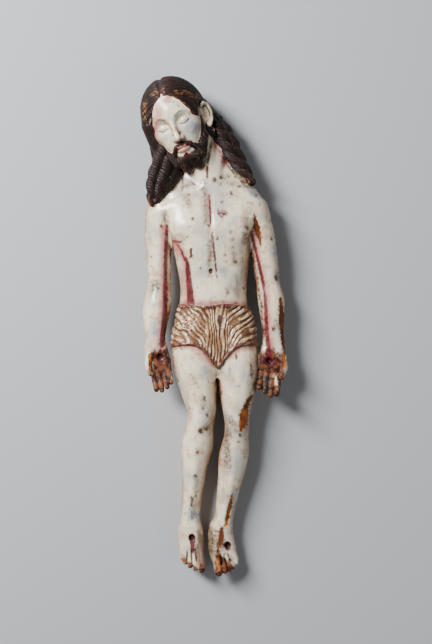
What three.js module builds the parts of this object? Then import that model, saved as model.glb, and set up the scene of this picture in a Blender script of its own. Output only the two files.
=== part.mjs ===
// A carved and painted wooden figure of a dead man taken down from a cross, about 46 cm long.
// It lies on its back with its arms along its sides, its head sunk towards its right shoulder.
// Millimetres. +Y runs towards the head, +X to the figure's own left, +Z up out of its chest.
// The origin is under the middle of the figure, on the surface that it lies on.
//
// The figure is worked like a block of wood: a box of samples holds, at each place, how far that
// place is outside the form (minus inside it). Forms are added and cut with soft joins, the
// drapery and hair are engraved, and the skin where the samples change sign becomes the mesh.

import * as THREE from "three";
import { triTable } from "three/addons/objects/MarchingCubes.js";

const BLOCK = new THREE.Box3(new THREE.Vector3(-74, -236, -3.4), new THREE.Vector3(74, 238, 84));
const SAMPLE = 1.0; // between one sample of the block and the next
const REACH = 7; // how far outside a form its soft joins are felt
const TRIANGLES = 9400;
const LYING = 0.25; // what is lower than this is worked flat, so that the figure lies still

// Limbs and trunk, as cross-sections from top to bottom. Each row says where the section is along
// the body (y), its centre (x, z), its half width, and its depth forward and back of the centre.
const TRUNK = [
  [139, -3, 25, 17, 13, 14],
  [131, -4.5, 25, 33, 16, 18],
  [122, -5.4, 25, 41, 19, 22],
  [105, -4.2, 25, 42, 23.5, 25.5],
  [82, -3.4, 25, 37.5, 26, 26],
  [60, -1.6, 25, 33.6, 23.5, 24],
  [39, -1.0, 24, 30.6, 19.5, 21],
  [21, -1.0, 24, 31.2, 18.6, 23],
  [9, 0, 24, 35, 18.6, 24.5],
  [-2, -0.5, 24, 35.8, 18.6, 25.5],
  [-21, 0.4, 24, 35.5, 17, 26],
  [-36, 2, 24, 29, 12, 23],
  [-44, 2.6, 24, 14, 5, 12],
];
const RIGHT_LEG = [
  [-4, -19.6, 24, 16, 16, 23],
  [-26, -19.6, 24, 19.6, 19, 24],
  [-45, -16.8, 24, 18.8, 19, 20.5],
  [-63, -13.8, 23.5, 16.2, 17, 17],
  [-79, -12, 23, 13, 15.2, 14.5],
  [-91, -14, 22, 13, 14.4, 14.5],
  [-110, -16.2, 20, 14.8, 12.8, 17],
  [-130, -18.6, 18.5, 11.8, 11, 14.5],
  [-152, -20.5, 17, 9.5, 9.6, 11],
  [-174, -22.4, 16, 9.3, 9, 10.5],
  [-192, -22.4, 15, 11.2, 10, 11],
  [-203, -21.5, 14, 12, 9, 8],
];
const LEFT_LEG = [
  [-4, 19.8, 24, 16, 16, 23],
  [-26, 21.2, 24, 19.5, 19, 24],
  [-45, 22, 24, 18.6, 19, 20.5],
  [-63, 20.9, 23.5, 16.2, 17, 17],
  [-81, 20.7, 22.5, 12.4, 15, 14.5],
  [-96, 20.6, 21.5, 11.4, 14.2, 14],
  [-118, 18, 19.5, 13.9, 12.4, 16.5],
  [-137, 15.4, 18, 12.1, 11, 14],
  [-158, 11.6, 17, 9.8, 9.6, 11],
  [-174, 8.9, 16, 9.1, 9, 10.5],
  [-191, 6.4, 15, 10.8, 10, 11],
  [-203, 7.8, 14, 11.6, 9, 8],
];
// Toes, big toe first: where each one ends and its radius, from the ankle, with the little toe to +x.
const RIGHT_TOES = [
  [-7.6, -40.4, 4.6, 3.8],
  [-2.0, -38.2, 4.4, 2.5],
  [2.6, -35.6, 3.8, 2.4],
  [6.7, -32, 3, 2.3],
  [9.6, -26.6, 2, 2.1],
];
const LEFT_TOES = [
  [-7.6, -41.4, 4.6, 3.8],
  [-1.8, -40, 4.4, 2.5],
  [2.6, -39.4, 3.8, 2.4],
  [6.4, -37.4, 3, 2.3],
  [9.6, -34.2, 2, 2.1],
];
const RIGHT_ARM = [
  [112, -50, 26, 9, 9, 10],
  [103, -51, 26, 12, 12, 12],
  [81, -51.6, 26, 12.4, 12, 12],
  [58, -51, 25, 11.1, 11, 11],
  [40, -50.9, 24, 10.8, 10.2, 10.5],
  [20, -52.8, 25, 13, 11, 11],
  [2, -54.2, 26, 10.8, 9.2, 9.2],
  [-15, -55, 27, 8.8, 7.2, 7.2],
  [-24, -54.6, 27, 9, 4.6, 5],
];
const LEFT_ARM = [
  [112, 36, 26, 9, 9, 10],
  [103, 38.4, 26, 12, 12, 12],
  [81, 43.8, 26, 12.2, 12, 12],
  [58, 46.8, 25, 12, 11, 11],
  [43, 49, 24, 10.9, 10.2, 10.5],
  [25, 52.1, 25, 12.2, 11, 11],
  [3, 53.6, 26, 10.4, 9.2, 9.2],
  [-13, 54.4, 27, 9.3, 7.2, 7.2],
  [-23, 53.6, 27, 9.4, 5, 5.4],
];

// The head: its middle, and its turn in degrees sideways, forward and round. Heights on the face are
// above that middle, and follow the usual rule of thirds.
const HEAD = { place: [-36.6, 194.5, 37], sideways: 24, forward: 10, round: -12 };
const CROWN = 30;
const CHIN = -44;
const EYES = (CROWN + CHIN) / 2;
const THIRD = 22; // hairline to brow, brow to nose, nose to chin
const BROW = CHIN + 2 * THIRD;
const NOSE = CHIN + THIRD;
const MOUTH = NOSE - THIRD / 3;
const EYE_APART = 10; // from the middle of the face
const EAR_HEIGHT = (BROW + NOSE) / 2;

// The loincloth: where it begins and ends, and its folds.
const CLOTH = { waist: 20.5, hem: -14, point: -38, middle: 3, halfWidth: 37 };
const SWAGS = 6.2; // folds between waist and hem at a hip
const SLANT = 0.13; // folds for each millimetre that they fall towards the middle
const PLEAT = 4.7; // width of one upright pleat at the waist
const FOLD_DEPTH = 0.7;

// The pits of the nails: middle of each one, on the hand's or foot's skin, and their half sizes.
const NAILS = [[-49.9, -26.8, 31.6], [50.2, -30.5, 31.8], [-20.9, -193.1, 25], [12.1, -200.5, 23.2]];
const NAIL = [2.5, 2.9, 3.4];
const SMALLER_HAND = 0.89; // the right hand is carved a little smaller than the left one

// Locks of hair, each from its root to its tip as [x, y, z, radius]. The ringlets fall on the front of
// the right shoulder and beside the neck on the left one, over plain locks that fill the space behind.
const BACK_LOCKS = [
  [[-40, 178, 22, 20], [-30, 158, 20, 17], [-36, 140, 22, 13]],
  [[-46, 166, 28, 13], [-44, 146, 28, 11], [-52, 126, 27, 8]],
  [[-20, 186, 22, 19], [-14, 164, 18, 16], [-8, 146, 18, 14]],
  [[-6.6, 182.6, 39.5, 4], [-4.6, 179, 38.8, 4.4], [-1.8, 174.6, 36.6, 3.4], [2, 168, 32, 2.4]],
  [[-15, 203, 18, 10.5], [-5, 191, 21, 11], [3, 174, 20, 10], [14, 154, 20, 9], [27, 137, 22, 6]],
];
const RINGLETS = [
  [[-46, 163, 44, 5], [-52, 149, 44, 5.4], [-56.4, 134, 42, 5.6], [-57.6, 121, 40, 4.6], [-57, 113, 38, 3]],
  [[-39, 160, 42, 6], [-43.6, 146, 43, 6], [-49, 131, 42, 5.6], [-52.4, 116, 40, 3.4]],
  [[-33, 156, 37, 6], [-36.6, 143, 38, 6.4], [-42.4, 130, 39, 5], [-47, 121, 39, 3.4]],
  [
    [3, 190, 25, 5.4],
    [9, 180, 27, 7],
    [15, 168, 28, 7.4],
    [20, 157, 29, 7],
    [27, 145, 31, 6],
    [34, 133, 34, 3.4],
  ],
  [
    [-2, 190, 29, 4.6],
    [4.6, 177, 33, 5.4],
    [11, 163, 35, 5.8],
    [18.6, 151, 36, 5.2],
    [26.6, 141, 37, 4.4],
    [34, 134, 38, 2.8],
  ],
];
const LUMP = 13; // length of one lump of a ringlet

const { abs, atan2, cos, exp, hypot, max, min, pow, sin, PI } = Math;
const clamp = THREE.MathUtils.clamp;
const radians = THREE.MathUtils.degToRad;
const mix = THREE.MathUtils.lerp;
const bell = (t) => exp(-t * t);

function softMin(a, b, k) {
  const h = max(k - abs(a - b), 0) / k;
  return min(a, b) - (h * h * k) / 4;
}
const softMax = (a, b, k) => -softMin(-a, -b, k);

// A form is a box that holds it and a function that gives the distance to its surface.
function form(low, high, distance) {
  return { box: new THREE.Box3(new THREE.Vector3(...low), new THREE.Vector3(...high)), distance };
}

function ellipsoid([cx, cy, cz], [rx, ry, rz]) {
  const distance = (x, y, z) => {
    const [px, py, pz] = [x - cx, y - cy, z - cz];
    const near = hypot(px / rx, py / ry, pz / rz);
    const slope = hypot(px / (rx * rx), py / (ry * ry), pz / (rz * rz));
    return slope < 1e-6 ? -min(rx, ry, rz) : (near * (near - 1)) / slope;
  };
  return form([cx - rx, cy - ry, cz - rz], [cx + rx, cy + ry, cz + rz], distance);
}

// A tapering rod with round ends through a few points, each [x, y, z, radius].
function rod(...points) {
  const most = max(...points.map((p) => p[3]));
  const low = [0, 1, 2].map((i) => min(...points.map((p) => p[i])) - most);
  const high = [0, 1, 2].map((i) => max(...points.map((p) => p[i])) + most);
  const distance = (x, y, z) => {
    let nearest = Infinity;
    for (let i = 1; i < points.length; i++) {
      const [ax, ay, az, ar] = points[i - 1];
      const [bx, by, bz, br] = points[i];
      const [dx, dy, dz] = [bx - ax, by - ay, bz - az];
      const along = ((x - ax) * dx + (y - ay) * dy + (z - az) * dz) / (dx * dx + dy * dy + dz * dz);
      const t = clamp(along, 0, 1);
      const away = hypot(x - ax - t * dx, y - ay - t * dy, z - az - t * dz);
      nearest = min(nearest, away - mix(ar, br, t));
    }
    return nearest;
  };
  return form(low, high, distance);
}

// A limb or trunk: rows of sections joined by a smooth curve through each of their numbers.
function limb(rows, squareness = 2) {
  const step = 0.5;
  const top = rows[0][0];
  const bottom = rows[rows.length - 1][0];
  const table = [];
  for (let y = top; y >= bottom - step; y -= step) table.push(sectionAt(rows, max(y, bottom)));
  const wide = max(...rows.map((r) => abs(r[1]) + r[3]));
  const distance = (x, y, z) => {
    const place = clamp((top - y) / step, 0, table.length - 1.001);
    const i = place | 0;
    const t = place - i;
    const [a, b] = [table[i], table[i + 1]];
    const px = x - mix(a[1], b[1], t);
    const pz = z - mix(a[2], b[2], t);
    const side = pz > 0 ? 4 : 5;
    const u = abs(px) / mix(a[3], b[3], t);
    const v = abs(pz) / mix(a[side], b[side], t);
    const near = pow(pow(u, squareness) + pow(v, squareness), 1 / squareness);
    const out = near < 1e-3 ? -a[3] : hypot(px, pz) * (1 - 1 / near);
    return max(out, y - top, bottom - y);
  };
  return form([-wide, bottom, BLOCK.min.z], [wide, top, 60], distance);
}

function sectionAt(rows, y) {
  let i = 0;
  while (i < rows.length - 2 && rows[i + 1][0] > y) i++;
  const last = rows.length - 1;
  const [before, a, b, after] = [max(i - 1, 0), i, i + 1, min(i + 2, last)].map((n) => rows[n]);
  const gap = b[0] - a[0];
  const t = (y - a[0]) / gap;
  return a.map((value, n) => {
    const leaving = (gap * (b[n] - before[n])) / (b[0] - before[0]);
    const arriving = (gap * (after[n] - value)) / (after[0] - a[0]);
    const [t2, t3] = [t * t, t * t * t];
    const ends = value * (2 * t3 - 3 * t2 + 1) + b[n] * (3 * t2 - 2 * t3);
    return ends + leaving * (t3 - 2 * t2 + t) + arriving * (t3 - t2);
  });
}

// The same form, moved and turned by a matrix.
function placed(shape, matrix) {
  const back = matrix.clone().invert();
  const p = new THREE.Vector3();
  const distance = (x, y, z) => {
    p.set(x, y, z).applyMatrix4(back);
    return shape.distance(p.x, p.y, p.z);
  };
  return { box: shape.box.clone().applyMatrix4(matrix), distance };
}

class Block {
  constructor(box, sample) {
    this.low = box.min;
    this.sample = sample;
    this.size = box.getSize(new THREE.Vector3()).toArray().map((s) => Math.ceil(s / sample) + 1);
    this.field = new Float32Array(this.size[0] * this.size[1] * this.size[2]).fill(REACH);
  }

  // Changes each sample inside a box: change(value, x, y, z) gives the new value.
  visit(box, change) {
    const { low, sample, size, field } = this;
    const place = (corner, axis) => (corner[axis] - low[axis]) / sample;
    const first = ["x", "y", "z"].map((axis, i) => clamp(Math.ceil(place(box.min, axis)), 0, size[i]));
    const last = ["x", "y", "z"].map((axis, i) => clamp(Math.floor(place(box.max, axis)), -1, size[i] - 1));
    for (let k = first[2]; k <= last[2]; k++)
      for (let j = first[1]; j <= last[1]; j++)
        for (let i = first[0]; i <= last[0]; i++) {
          const n = i + size[0] * (j + size[1] * k);
          field[n] = change(field[n], low.x + i * sample, low.y + j * sample, low.z + k * sample);
        }
  }

  add(shape, blend = 2) {
    const soft = typeof blend === "function" ? blend : () => blend;
    const box = shape.box.clone().expandByScalar(REACH);
    this.visit(box, (value, x, y, z) => softMin(value, shape.distance(x, y, z), soft(x, y, z)));
  }

  cut(shape, blend = 1) {
    const box = shape.box.clone().expandByScalar(REACH);
    this.visit(box, (value, x, y, z) => softMax(value, -shape.distance(x, y, z), blend));
  }

  // The skin of the block's form, by marching cubes, as shared points and triangles.
  skin() {
    const { low, sample, size, field } = this;
    const [nx, ny, nz] = size;
    const stride = [1, nx, nx * ny];
    const square = [[0, 0], [1, 0], [1, 1], [0, 1]];
    const corner = [0, 1].flatMap((up) => square.map((c) => [...c, up]));
    const round = [[0, 1], [1, 2], [3, 2], [0, 3]];
    const edge = [...round, ...round.map((e) => e.map((c) => c + 4)), [0, 4], [1, 5], [2, 6], [3, 7]];
    const axis = [0, 1, 0, 1, 0, 1, 0, 1, 2, 2, 2, 2];
    const offset = corner.map((c) => c[0] + c[1] * stride[1] + c[2] * stride[2]);
    const known = new Map();
    const points = [];
    const faces = [];
    for (let k = 0; k < nz - 1; k++)
      for (let j = 0; j < ny - 1; j++)
        for (let i = 0; i < nx - 1; i++) {
          const n = i + j * stride[1] + k * stride[2];
          let outside = 0;
          for (let c = 0; c < 8; c++) if (field[n + offset[c]] >= 0) outside |= 1 << c;
          if (outside === 0 || outside === 255) continue;
          for (let t = outside * 16; triTable[t] !== -1; t++) {
            const e = triTable[t];
            const from = n + offset[edge[e][0]];
            const key = from * 3 + axis[e];
            if (!known.has(key)) {
              const to = n + offset[edge[e][1]];
              const share = clamp(field[from] / (field[from] - field[to]), 0.02, 0.98);
              const place = corner[edge[e][0]].map((c, a) => [i, j, k][a] + c);
              place[axis[e]] += share;
              known.set(key, points.length);
              points.push([low.x + place[0] * sample, low.y + place[1] * sample, low.z + place[2] * sample]);
            }
            faces.push(known.get(key));
          }
        }
    return { points, faces };
  }
}

// Joins neighbouring points pair by pair, each time where the form changes least, until `target`
// triangles are left. Each point carries the sum of the squared distances to its old planes.
function simplify({ points, faces }, target) {
  const planes = points.map(() => new Float64Array(10));
  const around = points.map(() => new Set());
  const corners = (f) => [faces[3 * f], faces[3 * f + 1], faces[3 * f + 2]];
  const normalOf = (a, b, c) => {
    const [ux, uy, uz] = [b[0] - a[0], b[1] - a[1], b[2] - a[2]];
    const [vx, vy, vz] = [c[0] - a[0], c[1] - a[1], c[2] - a[2]];
    return [uy * vz - uz * vy, uz * vx - ux * vz, ux * vy - uy * vx];
  };
  const apart = (p, q) => hypot(p[0] - q[0], p[1] - q[1], p[2] - q[2]);
  const roundness = ([a, b, c], normal) => hypot(...normal) / max(apart(a, b), apart(b, c), apart(c, a)) ** 2;
  for (let f = 0; f < faces.length / 3; f++) {
    const [a, b, c] = corners(f);
    const normal = normalOf(points[a], points[b], points[c]);
    const twice = hypot(...normal) || 1e-12;
    const [nx, ny, nz] = normal.map((v) => v / twice);
    const d = -(nx * points[a][0] + ny * points[a][1] + nz * points[a][2]);
    const plane = [nx * nx, nx * ny, nx * nz, nx * d, ny * ny, ny * nz, ny * d, nz * nz, nz * d, d * d];
    for (const v of [a, b, c]) {
      around[v].add(f);
      plane.forEach((q, i) => (planes[v][i] += q * twice));
    }
  }
  const neighbours = (v) => {
    const found = new Set();
    for (const f of around[v]) for (const w of corners(f)) if (w !== v) found.add(w);
    return found;
  };
  // Where the two points would meet, and what that costs. A little pull to the middle keeps it calm.
  const meeting = (a, b) => {
    const q = planes[a].map((v, i) => v + planes[b][i]);
    const middle = points[a].map((v, i) => (v + points[b][i]) / 2);
    const calm = 2e-3 * (q[0] + q[4] + q[7]) + 1e-9;
    const [xx, xy, xz, yy, yz, zz] = [q[0] + calm, q[1], q[2], q[4] + calm, q[5], q[7] + calm];
    const [bx, by, bz] = [calm * middle[0] - q[3], calm * middle[1] - q[6], calm * middle[2] - q[8]];
    const [c0, c1, c2] = [yy * zz - yz * yz, xz * yz - xy * zz, xy * yz - xz * yy];
    const size = xx * c0 + xy * c1 + xz * c2;
    const x = (bx * c0 + by * c1 + bz * c2) / size;
    const y = (bx * c1 + by * (xx * zz - xz * xz) + bz * (xy * xz - xx * yz)) / size;
    const z = (bx * c2 + by * (xy * xz - xx * yz) + bz * (xx * yy - xy * xy)) / size;
    const cost = q[0] * x * x + q[4] * y * y + q[7] * z * z + q[9] +
      2 * (q[1] * x * y + q[2] * x * z + q[5] * y * z + q[3] * x + q[6] * y + q[8] * z);
    const stretch = hypot(x - middle[0], y - middle[1], z - middle[2]);
    return { place: [x, y, z], cost: max(cost, 0) + 1e-4 * stretch };
  };
  const age = new Uint32Array(points.length);
  const heap = [];
  const push = (entry) => {
    let i = heap.push(entry) - 1;
    while (i > 0 && heap[(i - 1) >> 1].cost > entry.cost) {
      heap[i] = heap[(i - 1) >> 1];
      i = (i - 1) >> 1;
    }
    heap[i] = entry;
  };
  const pop = () => {
    const top = heap[0];
    const last = heap.pop();
    if (!heap.length) return top;
    let i = 0;
    for (;;) {
      let child = 2 * i + 1;
      if (child >= heap.length) break;
      if (child + 1 < heap.length && heap[child + 1].cost < heap[child].cost) child++;
      if (heap[child].cost >= last.cost) break;
      heap[i] = heap[child];
      i = child;
    }
    heap[i] = last;
    return top;
  };
  const offer = (a, b) => push({ a, b, aged: age[a] + age[b], ...meeting(a, b) });
  points.forEach((_, a) => neighbours(a).forEach((b) => a < b && offer(a, b)));

  // A join is allowed if the skin stays one sheet, no triangle turns over and none gets too thin.
  const allowed = ({ a, b, place }) => {
    const beside = neighbours(b);
    let shared = 0;
    for (const v of neighbours(a)) if (beside.has(v)) shared++;
    if (shared !== 2) return false;
    for (const [v, other] of [[a, b], [b, a]])
      for (const f of around[v]) {
        const c = corners(f);
        if (c.includes(other)) continue;
        const was = c.map((i) => points[i]);
        const now = c.map((i) => (i === v ? place : points[i]));
        const [before, after] = [normalOf(...was), normalOf(...now)];
        const fullness = roundness(now, after);
        if (fullness < 0.03 && fullness < roundness(was, before)) return false;
        const turn = before[0] * after[0] + before[1] * after[1] + before[2] * after[2];
        if (turn < 0.25 * hypot(...before) * hypot(...after)) return false;
      }
    return true;
  };
  let left = faces.length / 3;
  while (left > target && heap.length) {
    const join = pop();
    const { a, b } = join;
    if (!around[a].size || !around[b].size || join.aged !== age[a] + age[b]) continue;
    if (!allowed(join)) {
      if (join.cost < 20) push({ ...join, cost: 2 * join.cost + 0.01 }); // tried again later
      continue;
    }
    points[a] = join.place;
    planes[b].forEach((q, i) => (planes[a][i] += q));
    for (const f of around[b]) {
      if (around[a].has(f)) {
        for (const v of corners(f)) around[v].delete(f);
        left--;
      } else {
        for (let i = 0; i < 3; i++) if (faces[3 * f + i] === b) faces[3 * f + i] = a;
        around[a].add(f);
      }
    }
    around[b].clear();
    age[a]++;
    age[b]++;
    for (const v of neighbours(a)) offer(a, v);
  }
  const kept = new Set(around.flatMap((s) => [...s]));
  return { points, faces: [...kept].flatMap(corners) };
}

const at = (x, y, z) => new THREE.Matrix4().makeTranslation(x, y, z);
const turned = (axis, degrees) => new THREE.Matrix4()[`makeRotation${axis}`](radians(degrees));
const MIRROR = new THREE.Matrix4().makeScale(-1, 1, 1);

function addTrunk(block) {
  block.add(limb(TRUNK, 2.4), 7);
  for (const [side, out] of [[-1, -22], [1, 15]]) {
    block.add(ellipsoid([out, 92, 42], [19, 14, 8.5]), 6); // breast
    block.add(ellipsoid([out + side * 8, 108, 33], [17, 12, 12]), 8); // front of the shoulder
    block.add(rod([out - side * 13, 127, 41, 2.4], [out + side * 16, 121, 38, 2.2]), 4); // collar bone
    block.add(ellipsoid([out, -10, 9], [15, 19, 12]), 5); // buttock
  }
  block.add(ellipsoid([-1.4, 34, 37], [20, 17, 7]), 6); // belly
  const chest = new THREE.Box3(new THREE.Vector3(-40, 20, 30), new THREE.Vector3(38, 125, 60));
  block.visit(chest, (value, x, y) => {
    const from = abs(x + 3);
    const arch = bell((y - 68 + from * 0.75) / 4) * bell((from - 16) / 12);
    const middle = bell((x + 3.4) / 2.4) * clamp((y - 50) / 8, 0, 1) * clamp((128 - y) / 8, 0, 1);
    return value + 0.9 * arch + 0.7 * middle;
  });
  block.cut(ellipsoid([-3.2, 51, 46], [1.7, 2.3, 3]), 1); // navel
}

function addNeck(block) {
  block.add(rod([-3.5, 131, 27, 17], [-9, 150, 29, 16], [-17, 172, 32, 16]), 6);
  block.add(rod([-18, 146, 25, 11], [-40, 119, 25, 12]), 7); // slopes to the shoulders
  block.add(rod([5, 150, 24, 11], [18, 134, 24, 12], [30, 118, 25, 11.5]), 7);
  block.add(rod([-3, 130, 40, 2.6], [4, 150, 37, 3.2], [6, 172, 31, 3.5]), 4); // neck tendons
  block.add(rod([-8, 130, 40, 2.6], [-20, 148, 40, 3.2]), 4);
}

function addLegs(block) {
  block.add(limb(RIGHT_LEG), 1);
  block.add(limb(LEFT_LEG), 1);
  block.add(ellipsoid([-12.6, -83, 33], [7, 9, 5]), 4); // knee caps
  block.add(ellipsoid([20.8, -90, 32], [7, 9, 5]), 4);
  addFoot(block, at(-22.3, -187, 15).multiply(turned("Z", 4)).multiply(MIRROR), RIGHT_TOES, 3.4, -17);
  addFoot(block, at(5.1, -188, 15).multiply(turned("Z", 10)), LEFT_TOES, 6, -22);
}

// A foot, toes towards -y and little toe towards +x, pointed so that its back goes on from the shin.
// ball is the half width of the swelling behind the big toe, and the gaps between the toes begin at web.
function addFoot(block, matrix, toes, ball, web) {
  const add = (shape, blend) => block.add(placed(shape, matrix), blend);
  add(rod([0, 2, 0, 9.6], [-2.4, -12, 1, 8.6]), 3);
  add(ellipsoid([0, -9, -7], [8, 9, 8]), 4); // heel
  add(ellipsoid([-8.4, -3, 0], [3, 4.5, 4]), 3); // ankle bones
  add(ellipsoid([8.2, -1, -1], [3, 4.5, 4]), 3);
  add(ellipsoid([-7.6, -18, 0.5], [ball, 13, 5.6]), 3);
  toes.forEach(([x, y, z, radius], toe) => {
    const root = mix(y, -20, 0.42);
    const joint = [x, mix(y, root, 0.5), z + 1.2, radius];
    add(rod([x * 0.45, -8, 1, 6], [x * 0.93, root, z - 0.6, radius + (toe ? 1.3 : 1)]), 3);
    if (toe) {
      const [beforeX, , , beforeRadius] = toes[toe - 1];
      const beside = (x + beforeX + beforeRadius - radius) / 2;
      const gap = [[beside * 0.8, web, z + 3.2, 0.8], [beside, root, z + 2, 1.1], [beside, y, z + 1, 1.2]];
      block.cut(placed(rod(...gap), matrix), 1.2);
    }
    add(rod([x * 0.93, root, z, radius + 0.4], joint, [x, y + radius, z, radius]), 0.6);
  });
}

function addArms(block) {
  const armpit = 66;
  const shoulderJoin = (x, y) => mix(0.8, 9, clamp((y - armpit) / 22, 0, 1));
  block.add(limb(RIGHT_ARM), shoulderJoin);
  block.add(limb(LEFT_ARM), shoulderJoin);
  block.add(ellipsoid([-48, 107, 27], [13, 13, 13.5]), 7); // round of the shoulders
  block.add(ellipsoid([35.6, 107, 27], [13, 13, 13.5]), 7);
  const smaller = new THREE.Matrix4().makeScale(SMALLER_HAND, SMALLER_HAND, SMALLER_HAND);
  addHand(block, at(-54.2, -14, 27).multiply(turned("Z", 10)).multiply(MIRROR).multiply(smaller), 16);
  addHand(block, at(54.4, -14, 27).multiply(turned("Z", -6)), 22);
}

// A hand with its palm up (+z), its fingers towards -y and its thumb towards +x, a little curled.
function addHand(block, matrix, curl) {
  const add = (shape, blend) => block.add(placed(shape, matrix), blend);
  const palm = [
    [5, 0, 0, 9, 6.2, 6.4],
    [-7, 0.2, 0, 11.2, 6, 6.2],
    [-15, 0.3, 0, 12, 5, 5.6],
    [-23, 0, 0.3, 11.8, 4.2, 4.8],
    [-29, -0.4, 0.6, 10.8, 3, 3.8],
  ];
  add(limb(palm, 2.4), 3);
  add(rod([5, -6, 2.6, 4.6], [8.6, -14, 3.4, 4.2]), 2.5);
  add(rod([9, -12, 4, 4], [11.6, -22, 5.4, 3.5], [10.4, -30, 6.6, 2.9]), 1); // thumb
  const fingers = [
    [7.6, -27, 9, 7.4, 6],
    [2, -28, 9.4, 7.6, 6],
    [-3.8, -27.4, 8.6, 6.8, 5.6],
    [-8.6, -26, 7.4, 5.8, 5],
  ];
  fingers.forEach(([x, y, ...bones]) => {
    const points = [[x, y + 8, 0, 3.2], [x, y, 0.6, 3.2]];
    let [turn, py, pz] = [curl * 0.35, y, 0.6];
    bones.forEach((length, joint) => {
      py -= length * cos(radians(turn));
      pz += length * sin(radians(turn));
      points.push([x - (joint + 1) * 0.15, py, pz, 3.03 - 0.22 * joint]);
      turn += curl;
    });
    add(rod(...points), 0.6);
  });
}

const HEAD_MATRIX = at(...HEAD.place)
  .multiply(turned("Z", HEAD.sideways))
  .multiply(turned("X", HEAD.forward))
  .multiply(turned("Y", HEAD.round));

// The head, seen from in front: x to the figure's left, y to the crown, z out of the face.
function addHead(block) {
  const add = (shape, blend) => block.add(placed(shape, HEAD_MATRIX), blend);
  const cut = (shape, blend) => block.cut(placed(shape, HEAD_MATRIX), blend);
  add(ellipsoid([0, 0, 0], [25, CROWN, 30]), 3);
  add(ellipsoid([0, -17, 8.5], [20.5, 27, 20.5]), 6);
  add(ellipsoid([0, CHIN + 8, 16], [11, 8.5, 10]), 6); // jaw
  for (const side of [-1, 1]) {
    const eye = side * EYE_APART;
    add(ellipsoid([side * 14, NOSE + 9, 17], [6.5, 6, 7]), 5); // cheek bone
    const [inner, outer] = [eye - side * 6.5, eye + side * 6];
    add(rod([inner, BROW, 27, 1.4], [eye, BROW + 2, 26.2, 1.5], [outer, BROW - 1.5, 21.6, 1.3]), 4);
    cut(ellipsoid([eye, EYES + 0.4, 31], [7.4, 4.6, 5.4]), 4); // socket
    add(ellipsoid([eye, EYES - 0.4, 21.4], [5.8, 4.4, 5.6]), 1); // closed eye
    const lashes = [[inner + side * 1.6, EYES - 1.6, 25, 0.5], [eye, EYES - 3, 27, 0.5]];
    cut(rod(...lashes, [outer - side * 1.4, EYES - 1.2, 24.4, 0.5]), 0.6);
    add(ellipsoid([side * 3.4, NOSE + 1.6, 29.4], [2.2, 2.4, 3]), 2); // nostril wing
  }
  add(rod([0, BROW - 2, 27.4, 2.3], [0, NOSE + 9, 31.4, 2.3], [0, NOSE + 2.4, 34, 2.8]), 2.6);
  add(ellipsoid([0, MOUTH + 1.6, 27.2], [7, 1.9, 3]), 1.6); // lips
  add(ellipsoid([0, MOUTH - 1.9, 26.8], [5.6, 2.1, 3]), 1.6);
  cut(rod([-6.4, MOUTH - 0.2, 27.4, 0.5], [0, MOUTH - 0.2, 30.4, 0.5], [6.4, MOUTH - 0.2, 27.4, 0.5]), 0.6);
  addEar(block);
}

// The left ear. The right one is under the hair.
function addEar(block) {
  const ear = HEAD_MATRIX.clone().multiply(at(25.4, EAR_HEIGHT, 2)).multiply(turned("Y", -40));
  const rim = rod(
    [2.2, 2, 4.6, 1.2],
    [3, 7.8, 3.4, 1.5],
    [3.6, 10.4, -0.8, 1.6],
    [3.4, 7.4, -5.2, 1.6],
    [3, 0, -6.2, 1.5],
    [2.6, -6, -4, 1.6],
    [2.4, -9.8, 0.4, 2.2],
  );
  block.add(placed(ellipsoid([0.2, 0, -0.5], [2.4, 10.6, 6.2]), ear), 1.5);
  block.add(placed(rim, ear), 0.8);
  block.cut(placed(ellipsoid([4.6, 0.6, -0.2], [3, 6.6, 3.6]), ear), 1);
}

// The same form with grooves cut into it, a width apart along across(x, y, z).
function grooved(shape, across, width, depth) {
  const distance = (x, y, z) => {
    const crest = pow(abs(sin((PI * across(x, y, z)) / width)), 0.8);
    return shape.distance(x, y, z) + depth * (1 - 1.6 * crest);
  };
  return form(shape.box.min.toArray(), shape.box.max.toArray(), distance);
}

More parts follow.
